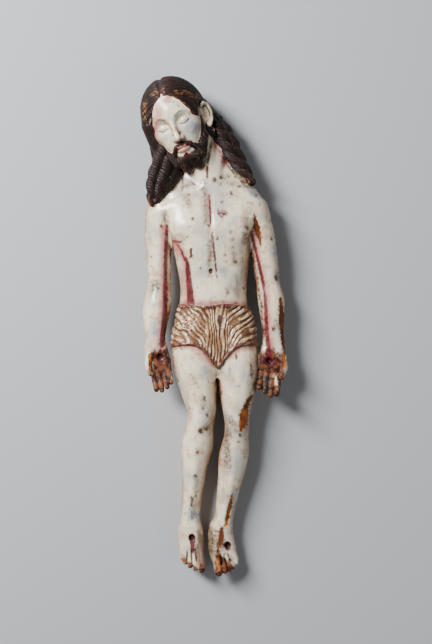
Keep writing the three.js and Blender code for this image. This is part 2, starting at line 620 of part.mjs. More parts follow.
// The beard and moustache, the hair combed down from the middle and back over the crown, and the
// locks that fall on the shoulders.
function addHair(block) {
  const add = (shape, blend) => block.add(placed(shape, HEAD_MATRIX), blend);
  const drawn = (x, y) => x * (1 + 0.1 * clamp(-32 - y, 0, 20)) + 1.2 * sin(y / 2.6 + 0.3 * x);
  for (const side of [-1, 1]) {
    const cheek = [[side * 21, EYES - 4, 8, 2.8], [side * 17.4, MOUTH + 2, 12, 5.8]];
    const point = [[side * 4, CHIN + 4, 20, 7], [side * 5, CHIN - 3, 18, 5.2]];
    add(grooved(rod(...cheek, [side * 9, CHIN + 5, 16.5, 8]), drawn, 4.4, 0.6), 2.5);
    add(grooved(rod(...point, [side * 4.8, CHIN - 6.6, 16.4, 2.6]), drawn, 4.4, 0.6), 1.4);
    const moustache = [[side * 0.6, NOSE - 3.8, 29, 1.4], [side * 6, NOSE - 5.4, 27, 2.1]];
    add(rod(...moustache, [side * 10.6, MOUTH - 4, 22.6, 2.5], [side * 12.4, MOUTH - 9, 19, 3]), 1.6);
  }
  add(rod([0, MOUTH - 6, 25.4, 1.8], [0, CHIN + 6, 23, 4]), 2);
  const cap = ellipsoid([-0.5, 1, -3], [29.9, 34, 32.5]);
  const face = ellipsoid([0, -16, 37], [21.5, 38, 33]);
  const leftEar = ellipsoid([30, EAR_HEIGHT, 7], [9.5, 12.5, 10]);
  const combed = form(cap.box.min.toArray(), cap.box.max.toArray(), (x, y, z) => {
    const strand = z - 0.55 * y + 2 * sin(y / 6) + 0.2 * abs(x);
    const groove = 0.8 * pow(abs(sin((PI * strand) / 5.2)), 0.7) * clamp(abs(x) / 4, 0.2, 1);
    const out = cap.distance(x, y, z) - groove + 0.9 + 1.2 * bell(x / 1.6);
    return softMax(softMax(out, -face.distance(x, y, z), 2), -leftEar.distance(x, y, z), 2);
  });
  add(combed, 0.8);
  add(rod([-19, 16, 8, 6], [-24, 0, 14, 6], [-24.5, -16, 13, 6], [-22, -34, 9, 6.5]), 2);
  const falling = (x, y, z) => {
    const slope = clamp((x + 34) / 88, -0.3, 0.55);
    return x + slope * (y - 170) + 0.7 * z + 1.8 * sin(y / 5.2 + x / 9);
  };
  for (const lock of BACK_LOCKS) block.add(grooved(rod(...lock), falling, 5.2, 0.7), 3);
  for (const lock of RINGLETS) block.add(ringlet(lock), 0.9);
}

// A ringlet: two strands twisted round each other, so that its lumps repeat.
function ringlet(points) {
  const core = rod(...points);
  const [top, bottom] = [points[0], points[points.length - 1]];
  const distance = (x, y, z) => {
    const along = top[1] - y;
    const t = clamp(along / (top[1] - bottom[1]), 0, 1);
    const round = atan2(z - mix(top[2], bottom[2], t), x - mix(top[0], bottom[0], t));
    return core.distance(x, y, z) + 1.2 * (1 - 1.6 * abs(sin(round + (PI * along) / LUMP)));
  };
  return form(core.box.min.toArray(), core.box.max.toArray(), distance);
}

function hemAt(x) {
  const from = abs(x - CLOTH.middle);
  const hip = from / CLOTH.halfWidth;
  return CLOTH.hem - 3.4 * hip * hip + (CLOTH.point - CLOTH.hem) * exp(-pow(from / 12, 1.5));
}

// Round crests and sharp grooves, one for each whole number.
const folds = (phase) => 2 * pow(abs(sin(PI * phase)), 0.8) - 1;

// The height of the folds, about 1 on a crest and -1 in a groove: upright pleats in the middle, and
// folds from both hips that are drawn together towards the crotch.
function foldHeight(x, y, z) {
  const from = x - CLOTH.middle;
  const side = abs(from);
  const height = max(y - hemAt(x), 0) / (CLOTH.waist - hemAt(x));
  const drawn = SWAGS * height - SLANT * side + 0.22 * sin(x / 6.3 + 2 + y / 9) + 0.1 * sin(x / 2.9 - y / 4);
  const narrowing = pow(max(CLOTH.waist + 8 - y, 1) / 8, 0.3);
  const lean = 0.22 * sin(y / 7 + x / 5) + 0.08 * sin(y / 3.1 - x / 3);
  const pleats = folds((from * narrowing) / PLEAT + lean);
  const panel = clamp((13.5 - side - 0.12 * (y + 10)) / 5, 0, 1);
  const lively = 0.85 + 0.25 * sin(x / 5.1 + y / 4.3);
  return mix(folds(drawn) * lively, pleats, panel) * clamp((z - 14) / 14, 0.2, 1);
}

// The loincloth: a skin on the hips, with a rolled hem.
function addCloth(block) {
  const { waist, hem, point, middle, halfWidth } = CLOTH;
  const box = new THREE.Box3(new THREE.Vector3(-46, point - 4, 0), new THREE.Vector3(46, waist + 4, 56));
  block.visit(box, (value, x, y, z) => {
    const edge = mix(hem - 8, hemAt(x), clamp((z - 12) / 16, 0, 1));
    const outside = max(y - waist - 0.8 * sin(x / 7), edge - y);
    const roll = 0.4 * bell((y - waist + 1.2) / 1.2) + bell((y - edge - 2) / 1.7);
    const calm = 1 - 0.75 * bell((y - edge - 1.6) / 2.2); // the folds stop at the rolled hem
    const wide = 1.45 - 0.5 * clamp(abs(x - middle) / halfWidth, 0, 1);
    const raised = FOLD_DEPTH * foldHeight(x, y, z) * calm + roll * clamp((z - 20) / 10, 0.3, 1);
    return softMin(value, softMax(value - wide - raised, outside, 1.2), 0.5);
  });
}

function cutNailPits(block) {
  for (const [x, y, z] of NAILS) block.cut(ellipsoid([x, y, z + 0.4], NAIL), 1.4);
}

function carve() {
  const block = new Block(BLOCK, SAMPLE);
  addLegs(block);
  addTrunk(block);
  addNeck(block);
  addCloth(block);
  addArms(block);
  addHead(block);
  addHair(block);
  cutNailPits(block);
  block.visit(BLOCK, (value, x, y, z) => max(value, -z)); // the flat that it lies on
  return block.skin();
}

// The outer skin alone, without the few small bubbles that the soft joins leave inside the hair.
function outerSkin({ points, faces }) {
  const leader = points.map((_, v) => v);
  const lead = (v) => {
    while (leader[v] !== v) v = leader[v] = leader[leader[v]];
    return v;
  };
  for (let n = 0; n < faces.length; n++) leader[lead(faces[n])] = lead(faces[n - (n % 3)]);
  const lowest = points.reduce((best, p, v) => (p[1] < points[best][1] ? v : best), faces[0]);
  const outer = lead(lowest);
  return { points, faces: faces.filter((v) => lead(v) === outer) };
}

function meshOf({ points, faces }) {
  const geometry = new THREE.BufferGeometry();
  const places = points.flatMap(([x, y, z]) => [x, y, z < LYING ? 0 : z]);
  geometry.setAttribute("position", new THREE.Float32BufferAttribute(places, 3));
  geometry.setIndex(faces);
  const facets = geometry.toNonIndexed();
  facets.computeVertexNormals();
  return facets;
}

const paintedWood = new THREE.MeshStandardMaterial({ color: 0xcfc8ba, roughness: 0.45, metalness: 0 });
const figure = new THREE.Mesh(meshOf(simplify(outerSkin(carve()), TRIANGLES)), paintedWood);
figure.name = "carved_figure";

const group = new THREE.Group();
group.add(figure);

export default group;
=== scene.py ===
# %% [markdown]
# A carved and painted wooden figure of a dead man taken down from a cross, about 46 cm long.
# It lies on its back. The carver cut it from one block of wood, so it is one piece here too.
# The plan: repeat the carving with finer tools than the solid that the frame holds, turn it into
# one mesh, measure where hair, cloth, blood and bare wood are, and paint it with layers as a
# painter of figures does: ivory skin first, then hair and cloth, then blood, then a long life of wear.

import math
import time

import bpy
import numpy as np
import openvdb
from mathutils import Matrix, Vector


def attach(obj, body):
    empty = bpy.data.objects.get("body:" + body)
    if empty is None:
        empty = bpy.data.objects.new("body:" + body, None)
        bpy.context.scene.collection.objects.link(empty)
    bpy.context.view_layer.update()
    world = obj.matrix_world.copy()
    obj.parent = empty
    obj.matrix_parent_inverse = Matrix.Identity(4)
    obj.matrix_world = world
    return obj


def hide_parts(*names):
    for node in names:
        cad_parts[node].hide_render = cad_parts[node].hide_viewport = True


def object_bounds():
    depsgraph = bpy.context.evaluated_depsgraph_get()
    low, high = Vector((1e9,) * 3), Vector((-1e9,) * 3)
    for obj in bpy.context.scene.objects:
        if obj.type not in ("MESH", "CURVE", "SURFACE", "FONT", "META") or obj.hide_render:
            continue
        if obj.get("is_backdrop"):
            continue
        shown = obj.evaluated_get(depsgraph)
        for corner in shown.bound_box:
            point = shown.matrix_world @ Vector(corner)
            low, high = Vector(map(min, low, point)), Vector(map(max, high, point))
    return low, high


START = time.time()
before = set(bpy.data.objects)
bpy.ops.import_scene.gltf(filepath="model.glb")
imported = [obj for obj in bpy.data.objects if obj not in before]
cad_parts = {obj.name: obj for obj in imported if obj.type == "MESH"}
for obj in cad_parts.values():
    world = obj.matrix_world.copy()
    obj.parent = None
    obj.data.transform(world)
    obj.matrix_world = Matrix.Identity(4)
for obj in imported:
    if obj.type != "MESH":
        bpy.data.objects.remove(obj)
CAD_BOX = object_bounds()
MM = 0.001


def tell(what):
    print(what, "at", round(time.time() - START, 1), "s")


print("frame:", sorted(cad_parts), "box", [tuple(round(v, 4) for v in corner) for corner in CAD_BOX])

# %% [markdown]
# The photograph looks straight down on the figure from about 1.3 m. A long lens keeps the feet and the
# head at the same scale. The camera could be parented to the figure, but a fixed one is simpler.

# %% Camera
FRAME_PIXELS = (432, 644)
PIXEL = 0.92  # millimetres of the figure in one pixel, at the height LEVEL
LEVEL = 25.0
DISTANCE = 1300.0
VIEW = (1.38, 5.06)  # the place under the middle of the frame

camera_data = bpy.data.cameras.new("camera")
camera_data.lens = camera_data.sensor_width * DISTANCE / (max(FRAME_PIXELS) * PIXEL)
camera = bpy.data.objects.new("camera", camera_data)
camera.location = (VIEW[0] * MM, VIEW[1] * MM, (LEVEL + DISTANCE) * MM)
bpy.context.scene.collection.objects.link(camera)
bpy.context.scene.camera = camera
print("camera: lens", round(camera_data.lens, 1), "mm")

# %% [markdown]
# Carving by numbers. A block of samples holds, at each place, how far that place is outside the form,
# with a minus sign inside it. Adding wood takes the smaller of two distances and cutting takes the
# larger, and a soft version of both leaves the small round fillets that a gouge leaves. Sculpting the
# mesh by hand or joining metaballs would also work, but numbers keep every form at its named size.

# %% Soft joins and the block of samples
SAMPLE = 0.5
REACH = 7.0  # how far outside a form its soft joins are felt
BLOCK = ((-75.0, -237.0, -3.0), (75.0, 239.0, 84.0))


def bell(t):
    return np.exp(-t * t)


def ramp(t):
    """0 below 0, 1 above 1, smooth between."""
    t = np.clip(t, 0, 1)
    return t * t * (3 - 2 * t)


def soft_min(a, b, k):
    h = np.maximum(k - np.abs(a - b), 0) / k
    return np.minimum(a, b) - h * h * k / 4


def soft_max(a, b, k):
    return -soft_min(-a, -b, k)


class Block:
    """A box of samples in millimetres. Its parts share its grid."""

    def __init__(self, low, high, sample=SAMPLE):
        self.low = np.array(low, float)
        self.sample = sample
        self.size = np.ceil((np.array(high) - self.low) / sample).astype(int) + 1
        self.field = np.full(self.size, REACH, np.float32)

    def slices(self, low, high):
        first = np.clip(np.ceil((np.array(low) - self.low) / self.sample), 0, self.size).astype(int)
        last = np.clip(np.floor((np.array(high) - self.low) / self.sample) + 1, 0, self.size).astype(int)
        return tuple(slice(a, max(a, b)) for a, b in zip(first, last))

    def axes(self, window):
        """x, y and z of the samples in a window, each along its own axis."""
        lines = [np.arange(s.start, s.stop) * self.sample + low for s, low in zip(window, self.low)]
        return [a.astype(np.float32) for a in np.ix_(*lines)]

    def change(self, low, high, how):
        window = self.slices(low, high)
        self.field[window] = how(self.field[window], *self.axes(window))

    def add(self, form, blend=2.0):
        def join(value, x, y, z):
            soft = blend(x, y) if callable(blend) else blend
            return soft_min(value, form.distance(x, y, z), soft)

        self.change(form.low - REACH, form.high + REACH, join)

    def cut(self, form, blend=1.0):
        def take(value, x, y, z):
            return soft_max(value, -form.distance(x, y, z), blend)

        self.change(form.low - REACH, form.high + REACH, take)

    def part(self, low, high):
        """An empty block on the same grid, over a smaller box."""
        window = self.slices(low, high)
        made = Block.__new__(Block)
        made.low = self.low + np.array([s.start for s in window]) * self.sample
        made.sample = self.sample
        made.size = np.array([s.stop - s.start for s in window])
        made.field = np.full(made.size, REACH, np.float32)
        made.window = window
        return made

    def at(self, points):
        """The field at any places, between the samples too."""
        place = (points - self.low) / self.sample
        base = np.clip(np.floor(place).astype(int), 0, self.size - 2)
        share = np.clip(place - base, 0, 1)
        total = np.zeros(len(points))
        for corner in np.ndindex(2, 2, 2):
            weight = np.prod(np.where(corner, share, 1 - share), axis=1)
            i, j, k = (base + corner).T
            total += weight * self.field[i, j, k]
        return total


print("block: samples every", SAMPLE, "mm")

# %% [markdown]
# Three kinds of form are enough for a body. An ellipsoid is a breast, a heel or an eye. A rod with a
# changing radius is a finger, a lock or a collar bone. A limb is a row of cross-sections joined by
# smooth curves, which is how a carver works from a drawing: front view, side view, and round off.

# %% Forms
LIMBS_TOP = 60  # no limb is higher than this
SLICE = 0.25  # how closely the curves of a limb are worked out


class Form:
    def __init__(self, low, high, distance):
        self.low, self.high, self.distance = np.array(low, float), np.array(high, float), distance


def ellipsoid(centre, radii):
    c, r = np.array(centre, float), np.array(radii, float)

    def distance(x, y, z):
        p = (x - c[0], y - c[1], z - c[2])
        near = np.sqrt(sum((q / s) ** 2 for q, s in zip(p, r)) + 1e-8)
        slope = np.sqrt(sum((q / s**2) ** 2 for q, s in zip(p, r)) + 1e-8 / min(r) ** 2)
        return near * (near - 1) / slope

    return Form(c - r, c + r, distance)


def rod(*points):
    """A tapering rod with round ends through points, each (x, y, z, radius)."""
    rows = np.array(points, float)

    def distance(x, y, z):
        nearest = np.float32(1e3)
        for a, b in zip(rows[:-1], rows[1:]):
            d = b[:3] - a[:3]
            along = ((x - a[0]) * d[0] + (y - a[1]) * d[1] + (z - a[2]) * d[2]) / (d @ d)
            t = np.clip(along, 0, 1)
            away = [p - a[i] - t * d[i] for i, p in enumerate((x, y, z))]
            away = np.sqrt(sum(p**2 for p in away))
            nearest = np.minimum(nearest, away - (a[3] + (b[3] - a[3]) * t))
        return nearest

    most = rows[:, 3].max()
    return Form(rows[:, :3].min(0) - most, rows[:, :3].max(0) + most, distance)


def limb(rows, squareness=2.0):
    """Sections (y, x, z, half width, depth forward, depth back), from top to bottom."""
    rows = np.array(rows, float)
    top, bottom = rows[0, 0], rows[-1, 0]
    ys = np.arange(bottom, top + SLICE, SLICE)
    i = np.clip(np.searchsorted(-rows[:, 0], -ys, side="right") - 1, 0, len(rows) - 2)
    before, a, b, after = (rows[np.clip(i + n, 0, len(rows) - 1)] for n in (-1, 0, 1, 2))
    gap = b[:, :1] - a[:, :1]
    t = (ys[:, None] - a[:, :1]) / gap
    leaving = gap * (b - before) / (b[:, :1] - before[:, :1])
    arriving = gap * (after - a) / (after[:, :1] - a[:, :1])
    table = a * (2 * t**3 - 3 * t**2 + 1) + leaving * (t**3 - 2 * t**2 + t)
    table += b * (3 * t**2 - 2 * t**3) + arriving * (t**3 - t**2)

    def distance(x, y, z):
        cx, cz, wide, front, back = (np.interp(y, ys, table[:, n]).astype(np.float32) for n in range(1, 6))
        px, pz = x - cx, z - cz
        u = np.abs(px) / wide
        v = np.abs(pz) / np.where(pz > 0, front, back)
        if squareness == 2:
            near = np.sqrt(u * u + v * v)
        else:
            near = (u**squareness + v**squareness) ** (1 / squareness)
        near = np.maximum(near, 1e-3)
        out = np.sqrt(px * px + pz * pz) * (1 - 1 / near)
        return np.maximum(out, np.maximum(y - top, bottom - y))

    wide = (np.abs(rows[:, 1]) + rows[:, 3]).max()
    return Form((-wide, bottom, BLOCK[0][2]), (wide, top, LIMBS_TOP), distance)


def matrix(*steps):
    made = Matrix()
    for step in steps:
        made = made @ step
    return np.array(made)


def move(x, y, z):
    return Matrix.Translation((x, y, z))


def turn(axis, degrees):
    return Matrix.Rotation(math.radians(degrees), 4, axis)


MIRROR = Matrix.Scale(-1, 4, (1, 0, 0))


def local(back, x, y, z):
    return tuple(back[i, 0] * x + back[i, 1] * y + back[i, 2] * z + back[i, 3] for i in range(3))


def placed(form, where):
    """The same form, moved and turned by a matrix."""
    back = np.linalg.inv(where)
    ends = np.array((form.low, form.high))
    corners = np.array([[*ends[list(bits), [0, 1, 2]], 1] for bits in np.ndindex(2, 2, 2)])
    spread = (corners @ where.T)[:, :3]
    return Form(spread.min(0), spread.max(0), lambda x, y, z: form.distance(*local(back, x, y, z)))


print("forms: ellipsoid, rod and limb")

# %% [markdown]
# The trunk and legs. The rows are the same as the solid's, read off the figure from the neck down.
# The trunk has a squarer section than an ellipse, so that chest and back are broad planes.

# %% Trunk and legs
TRUNK = [
    (139, -3, 25, 17, 13, 14), (131, -4.5, 25, 33, 16, 18), (122, -5.4, 25, 41, 19, 22),
    (105, -4.2, 25, 42, 23.5, 25.5), (82, -3.4, 25, 37.5, 26, 26), (60, -1.6, 25, 33.6, 23.5, 24),
    (39, -1.0, 24, 30.6, 19.5, 21), (21, -1.0, 24, 31.2, 18.6, 23), (9, 0, 24, 35, 18.6, 24.5),
    (-2, -0.5, 24, 35.8, 18.6, 25.5), (-21, 0.4, 24, 35.5, 17, 26), (-36, 2, 24, 29, 12, 23),
    (-44, 2.6, 24, 14, 5, 12),
]
RIGHT_LEG = [
    (-4, -19.6, 24, 16, 16, 23), (-26, -19.6, 24, 19.6, 19, 24), (-45, -16.8, 24, 18.8, 19, 20.5),
    (-63, -13.8, 23.5, 16.2, 17, 17), (-79, -12, 23, 13, 15.2, 14.5), (-91, -14, 22, 13, 14.4, 14.5),
    (-110, -16.2, 20, 14.8, 12.8, 17), (-130, -18.6, 18.5, 11.8, 11, 14.5), (-152, -20.5, 17, 9.5, 9.6, 11),
    (-174, -22.4, 16, 9.3, 9, 10.5), (-192, -22.4, 15, 11.2, 10, 11), (-203, -21.5, 14, 12, 9, 8),
]
LEFT_LEG = [
    (-4, 19.8, 24, 16, 16, 23), (-26, 21.2, 24, 19.5, 19, 24), (-45, 22, 24, 18.6, 19, 20.5),
    (-63, 20.9, 23.5, 16.2, 17, 17), (-81, 20.7, 22.5, 12.4, 15, 14.5), (-96, 20.6, 21.5, 11.4, 14.2, 14),
    (-118, 18, 19.5, 13.9, 12.4, 16.5), (-137, 15.4, 18, 12.1, 11, 14), (-158, 11.6, 17, 9.8, 9.6, 11),
    (-174, 8.9, 16, 9.1, 9, 10.5), (-191, 6.4, 15, 10.8, 10, 11), (-203, 7.8, 14, 11.6, 9, 8),
]
# Toes, big toe first: where each ends, and its radius, measured from the ankle.
RIGHT_TOES = [
    (-7.6, -40.4, 4.6, 3.8), (-2.0, -38.2, 4.4, 2.5), (2.6, -35.6, 3.8, 2.4), (6.7, -32, 3, 2.3),
    (9.6, -26.6, 2, 2.1),
]
LEFT_TOES = [
    (-7.6, -41.4, 4.6, 3.8), (-1.8, -40, 4.4, 2.5), (2.6, -39.4, 3.8, 2.4), (6.4, -37.4, 3, 2.3),
    (9.6, -34.2, 2, 2.1),
]
RIGHT_FOOT = matrix(move(-22.3, -187, 15), turn("Z", 4), MIRROR)
LEFT_FOOT = matrix(move(5.1, -188, 15), turn("Z", 10))

body = Block(*BLOCK)


def on(where, block=body):
    """Two functions that add a form and cut one, at the place and turn of a matrix."""
    return (
        lambda form, blend: block.add(placed(form, where), blend),
        lambda form, blend: block.cut(placed(form, where), blend),
    )


def add_foot(where, toes, ball, web):
    """Toes towards -y, little toe towards +x, pointed so that its back goes on from the shin. The gaps
    between the toes begin at web."""
    add, cut = on(where)
    add(rod((0, 2, 0, 9.6), (-2.4, -12, 1, 8.6)), 3)
    add(ellipsoid((0, -9, -7), (8, 9, 8)), 4)  # heel
    add(ellipsoid((-8.4, -3, 0), (3, 4.5, 4)), 3)  # ankle bones
    add(ellipsoid((8.2, -1, -1), (3, 4.5, 4)), 3)
    add(ellipsoid((-7.6, -18, 0.5), (ball, 13, 5.6)), 3)  # inner edge up to the ball
    for n, (x, y, z, radius) in enumerate(toes):
        root = y + (-20 - y) * 0.42
        add(rod((x * 0.45, -8, 1, 6), (x * 0.93, root, z - 0.6, radius + (1.3 if n else 1))), 3)
        tip = (x, y + radius, z, radius)
        if n:
            beside = (x + toes[n - 1][0] + toes[n - 1][3] - radius) / 2
            gap = ((beside * 0.8, web, z + 3.2, 0.8), (beside, root, z + 2, 1.1), (beside, y, z + 1, 1.2))
            cut(rod(*gap), 1.2)
        add(rod((x * 0.93, root, z, radius + 0.4), (x, (y + root) / 2, z + 1.2, radius), tip), 0.6)
        nail = (radius * 0.62, radius * 0.8, radius * 0.5)
        add(ellipsoid((x, y + radius * 0.9, z + radius * 0.68), nail), 0.25)
        joint = (y + root) / 2 - 0.5
        crease = rod((x - radius, joint, z + 4.3, 0.5), (x + radius, joint, z + 4.3, 0.5))
        cut(crease, 0.8)


body.add(limb(RIGHT_LEG), 1)
body.add(limb(LEFT_LEG), 1)
body.add(ellipsoid((-12.6, -83, 33), (7, 9, 5)), 4)  # knee caps
body.add(ellipsoid((20.8, -90, 32), (7, 9, 5)), 4)
body.add(rod((-15, -104, 31, 1.6), (-19.6, -140, 27, 1.4), (-22, -172, 23.8, 1.2)), 5)  # shin bones
body.add(rod((19, -108, 30.6, 1.6), (14, -146, 26.4, 1.4), (9, -172, 23.8, 1.2)), 5)
add_foot(RIGHT_FOOT, RIGHT_TOES, 3.4, -17)
add_foot(LEFT_FOOT, LEFT_TOES, 6, -22)

body.add(limb(TRUNK, 2.4), 7)
for side, out in ((-1, -22), (1, 15)):
    body.add(ellipsoid((out, 92, 42), (19, 14, 8.5)), 6)  # breast
    body.add(ellipsoid((out + side * 8, 108, 33), (17, 12, 12)), 8)  # front of the shoulder
    body.add(rod((out - side * 13, 127, 41, 2.4), (out + side * 16, 121, 38, 2.2)), 4)  # collar bone
    body.add(ellipsoid((out, -10, 9), (15, 19, 12)), 5)  # buttock
body.add(ellipsoid((-1.4, 34, 37), (20, 17, 7)), 6)  # belly
RIB_APART = 11


def engrave_trunk(value, x, y, z):
    from_middle = np.abs(x + 3)
    arch = bell((y - 68 + from_middle * 0.75) / 4) * bell((from_middle - 16) / 12)
    middle = bell((x + 3.4) / 2.4) * np.clip((y - 50) / 8, 0, 1) * np.clip((128 - y) / 8, 0, 1)
    rib = np.sin((y + from_middle * 0.35) * 2 * math.pi / RIB_APART)
    ribs = bell((from_middle - 24) / 9) * rib * bell((y - 66) / 16)
    return value + 0.9 * arch + 0.7 * middle - 0.25 * ribs


body.change((-40, 20, 30), (38, 125, 60), engrave_trunk)
body.cut(ellipsoid((-3.2, 51, 46), (1.7, 2.3, 3)), 1)  # navel

body.add(rod((-3.5, 131, 27, 17), (-9, 150, 29, 16), (-17, 172, 32, 16)), 6)  # neck
body.add(rod((-18, 146, 25, 11), (-40, 119, 25, 12)), 7)
body.add(rod((5, 150, 24, 11), (18, 134, 24, 12), (30, 118, 25, 11.5)), 7)
body.add(rod((-3, 130, 40, 2.6), (4, 150, 37, 3.2), (6, 172, 31, 3.5)), 4)
body.add(rod((-8, 130, 40, 2.6), (-20, 148, 40, 3.2)), 4)
tell("trunk and legs carved")

# %% [markdown]
# The loincloth is carved wood too, so it isn't draped by a simulation. It is a skin a little above the
# hips. Upright pleats fall from the waist in the middle, and from both hips the folds are drawn
# together towards the crotch, where the cloth ends in a point.

# %% Loincloth
WAIST, HEM, POINT, MIDDLE = 20.5, -14, -38, 3
CLOTH_BOX = ((-46, POINT - 4, 0), (46, WAIST + 4, 56))
SWAGS = 6.2  # folds between waist and hem at a hip
SLANT = 0.13  # folds for each millimetre that they fall towards the middle
PLEAT = 4.7  # width of one upright pleat at the waist
cloth = body.part(*CLOTH_BOX)


def hem_at(x):
    across = np.abs(x - MIDDLE) / 37
    return HEM - 3.4 * across**2 + (POINT - HEM) * np.exp(-((np.abs(x - MIDDLE) / 12) ** 1.5))


def from_hem(x, y):
    """The distance from the hem, measured square to it."""
    slope = hem_at(x + 0.5) - hem_at(x - 0.5)
    return (y - hem_at(x)) / np.hypot(1, slope)


def folds(phase):
    """Round crests and sharp grooves, one for each whole number."""
    return 2 * np.abs(np.sin(math.pi * phase)) ** 0.8 - 1


def cloth_folds(x, y, z):
    """The height of the folds, about 1 on a crest and -1 in a groove."""
    from_middle = x - MIDDLE
    side = np.abs(from_middle)
    height = np.maximum(y - hem_at(x), 0) / (WAIST - hem_at(x))
    sway = 0.3 * np.sin(x / 6.3 + 2 + y / 9) + 0.16 * np.sin(x / 2.9 - y / 4)
    drawn = SWAGS * height - SLANT * side + sway
    swags = folds(drawn) + 0.25 * folds(2.3 * drawn + x / 23)
    narrowing = (np.maximum(WAIST + 8 - y, 1) / 8) ** 0.3
    lean = 0.3 * np.sin(y / 8 + x / 5) + 0.3 * np.sin(x / 2.6 + 1)
    lean = lean + 0.12 * np.sin(y / 3.1 - x / 3) + 0.22 * np.sin(x / 1.9 + y / 13)
    count = from_middle * narrowing / PLEAT
    pleats = folds(count + lean) + 0.3 * folds(2.2 * count - 2 * lean)
    panel = np.clip((13.5 - side - 0.12 * (y + 10)) / 5, 0, 1)
    lace = bell((x + 26) / 9) * bell((y - 3) / 8)
    crumple = np.sin(x * 1.2 + 1.7 * np.sin(y * 0.7)) * np.sin(y * 1.4 + 1.4 * np.sin(x * 0.6))
    crumple = (0.14 + 0.75 * lace) * crumple
    lively = (0.8 + 0.35 * np.sin(x / 5.1 + y / 4.3) + 0.3 * np.sin(x / 2.9 - y / 3.1)) * (1 - 0.6 * lace)
    ridge = (swags * lively + crumple) * (1 - panel) + pleats * panel
    return ridge * np.clip((z - 14) / 14, 0.2, 1)


def cloth_distance(value, x, y, z):
    edge = (HEM - 8) + (hem_at(x) - HEM + 8) * np.clip((z - 12) / 16, 0, 1)
    outside = np.maximum(y - WAIST - 0.8 * np.sin(x / 7), edge - y)
    roll = 0.4 * bell((y - WAIST + 1.2) / 1.2) + 1.0 * bell((y - edge - 2) / 1.7)
    in_roll = bell((y - edge - 1.6) / 2.2)
    wide = 1.45 - 0.5 * np.clip(np.abs(x - MIDDLE) / 37, 0, 1)
    raised = 0.7 * cloth_folds(x, y, z) * (1 - 0.75 * in_roll) + roll * np.clip((z - 20) / 10, 0.3, 1)
    return soft_max(value - wide - raised, outside, 1.2)


cloth.field[:] = cloth_distance(body.field[cloth.window], *body.axes(cloth.window))
tell("cloth carved")

# %% [markdown]
# Arms and hands. The palms face up and the fingers curl a little, as they do in sleep. Each finger is
# one rod bent at its joints by an equal angle, so a whole hand follows from a few lengths.

# %% Arms and hands
RIGHT_ARM = [
    (112, -50, 26, 9, 9, 10), (103, -51, 26, 12, 12, 12), (81, -51.6, 26, 12.4, 12, 12),
    (58, -51, 25, 11.1, 11, 11), (40, -50.9, 24, 10.8, 10.2, 10.5), (20, -52.8, 25, 13, 11, 11),
    (2, -54.2, 26, 10.8, 9.2, 9.2), (-15, -55, 27, 8.8, 7.2, 7.2), (-24, -54.6, 27, 9, 4.6, 5),
]
LEFT_ARM = [
    (112, 36, 26, 9, 9, 10), (103, 38.4, 26, 12, 12, 12), (81, 43.8, 26, 12.2, 12, 12),
    (58, 46.8, 25, 12, 11, 11), (43, 49, 24, 10.9, 10.2, 10.5), (25, 52.1, 25, 12.2, 11, 11),
    (3, 53.6, 26, 10.4, 9.2, 9.2), (-13, 54.4, 27, 9.3, 7.2, 7.2), (-23, 53.6, 27, 9.4, 5, 5.4),
]
PALM = [
    (5, 0, 0, 9, 6.2, 6.4), (-7, 0.2, 0, 11.2, 6, 6.2), (-15, 0.3, 0, 12, 5, 5.6),
    (-23, 0, 0.3, 11.8, 4.2, 4.8), (-29, -0.4, 0.6, 10.8, 3, 3.8),
]
# Root of each finger from the wrist, and the lengths of its three bones.
FINGERS = [
    (7.6, -27, 9, 7.4, 6), (2, -28, 9.4, 7.6, 6), (-3.8, -27.4, 8.6, 6.8, 5.6), (-8.6, -26, 7.4, 5.8, 5),
]
RIGHT_HAND = matrix(move(-54.2, -14, 27), turn("Z", 10), MIRROR, Matrix.Scale(0.89, 4))
LEFT_HAND = matrix(move(54.4, -14, 27), turn("Z", -6))
ARMPIT = 66


def shoulder_join(x, y):
    return 0.8 + 8.2 * np.clip((y - ARMPIT) / 22, 0, 1)


def add_hand(where, curl):
    """Palm up (+z), fingers towards -y and thumb towards +x."""
    add, cut = on(where)
    add(limb(PALM, 2.4), 3)
    add(rod((5, -6, 2.6, 4.6), (8.6, -14, 3.4, 4.2)), 2.5)  # ball of the thumb
    add(rod((-7, -8, 2.2, 3.6), (-8.4, -20, 2, 3.2)), 2.5)  # outer edge of the palm
    add(rod((9, -12, 4, 4), (11.6, -22, 5.4, 3.5), (10.4, -30, 6.6, 2.9)), 1)  # thumb
    for x, y, *bones in FINGERS:
        points = [(x, y + 8, 0, 3.2), (x, y, 0.6, 3.2)]
        angle, py, pz = curl * 0.35, y, 0.6
        for joint, length in enumerate(bones, 1):
            py -= length * math.cos(math.radians(angle))
            pz += length * math.sin(math.radians(angle))
            points.append((x - joint * 0.15, py, pz, 3.25 - 0.22 * joint))
            angle += curl
        add(rod(*points), 0.6)
        for px, py, pz, radius in points[1:-1]:  # the crease at each joint
            top = pz + radius + 0.15
            cut(rod((px - 2.4, py, top, 0.4), (px + 2.4, py, top, 0.4)), 0.6)
    for start, end in (((5, -8), (-1, -21)), ((-1, -21), (-9.5, -23)), ((8, -20), (-6, -16))):
        cut(rod((*start, 6.2, 0.45), (*end, 5.4, 0.45)), 1.2)  # lines of the palm


body.add(limb(RIGHT_ARM), shoulder_join)
body.add(limb(LEFT_ARM), shoulder_join)
body.add(ellipsoid((-48, 107, 27), (13, 13, 13.5)), 7)  # round of the shoulders
body.add(ellipsoid((35.6, 107, 27), (13, 13, 13.5)), 7)
add_hand(RIGHT_HAND, 16)
add_hand(LEFT_HAND, 22)
tell("arms and hands carved")

# %% [markdown]
# The head has a calm, plain face on the usual rule of thirds: hairline to brow, brow to nose and nose
# to chin are equal, and the eyes are halfway down. It is set up straight, then turned as one, so the
# same few heights place every feature, and the painter finds them again further down.

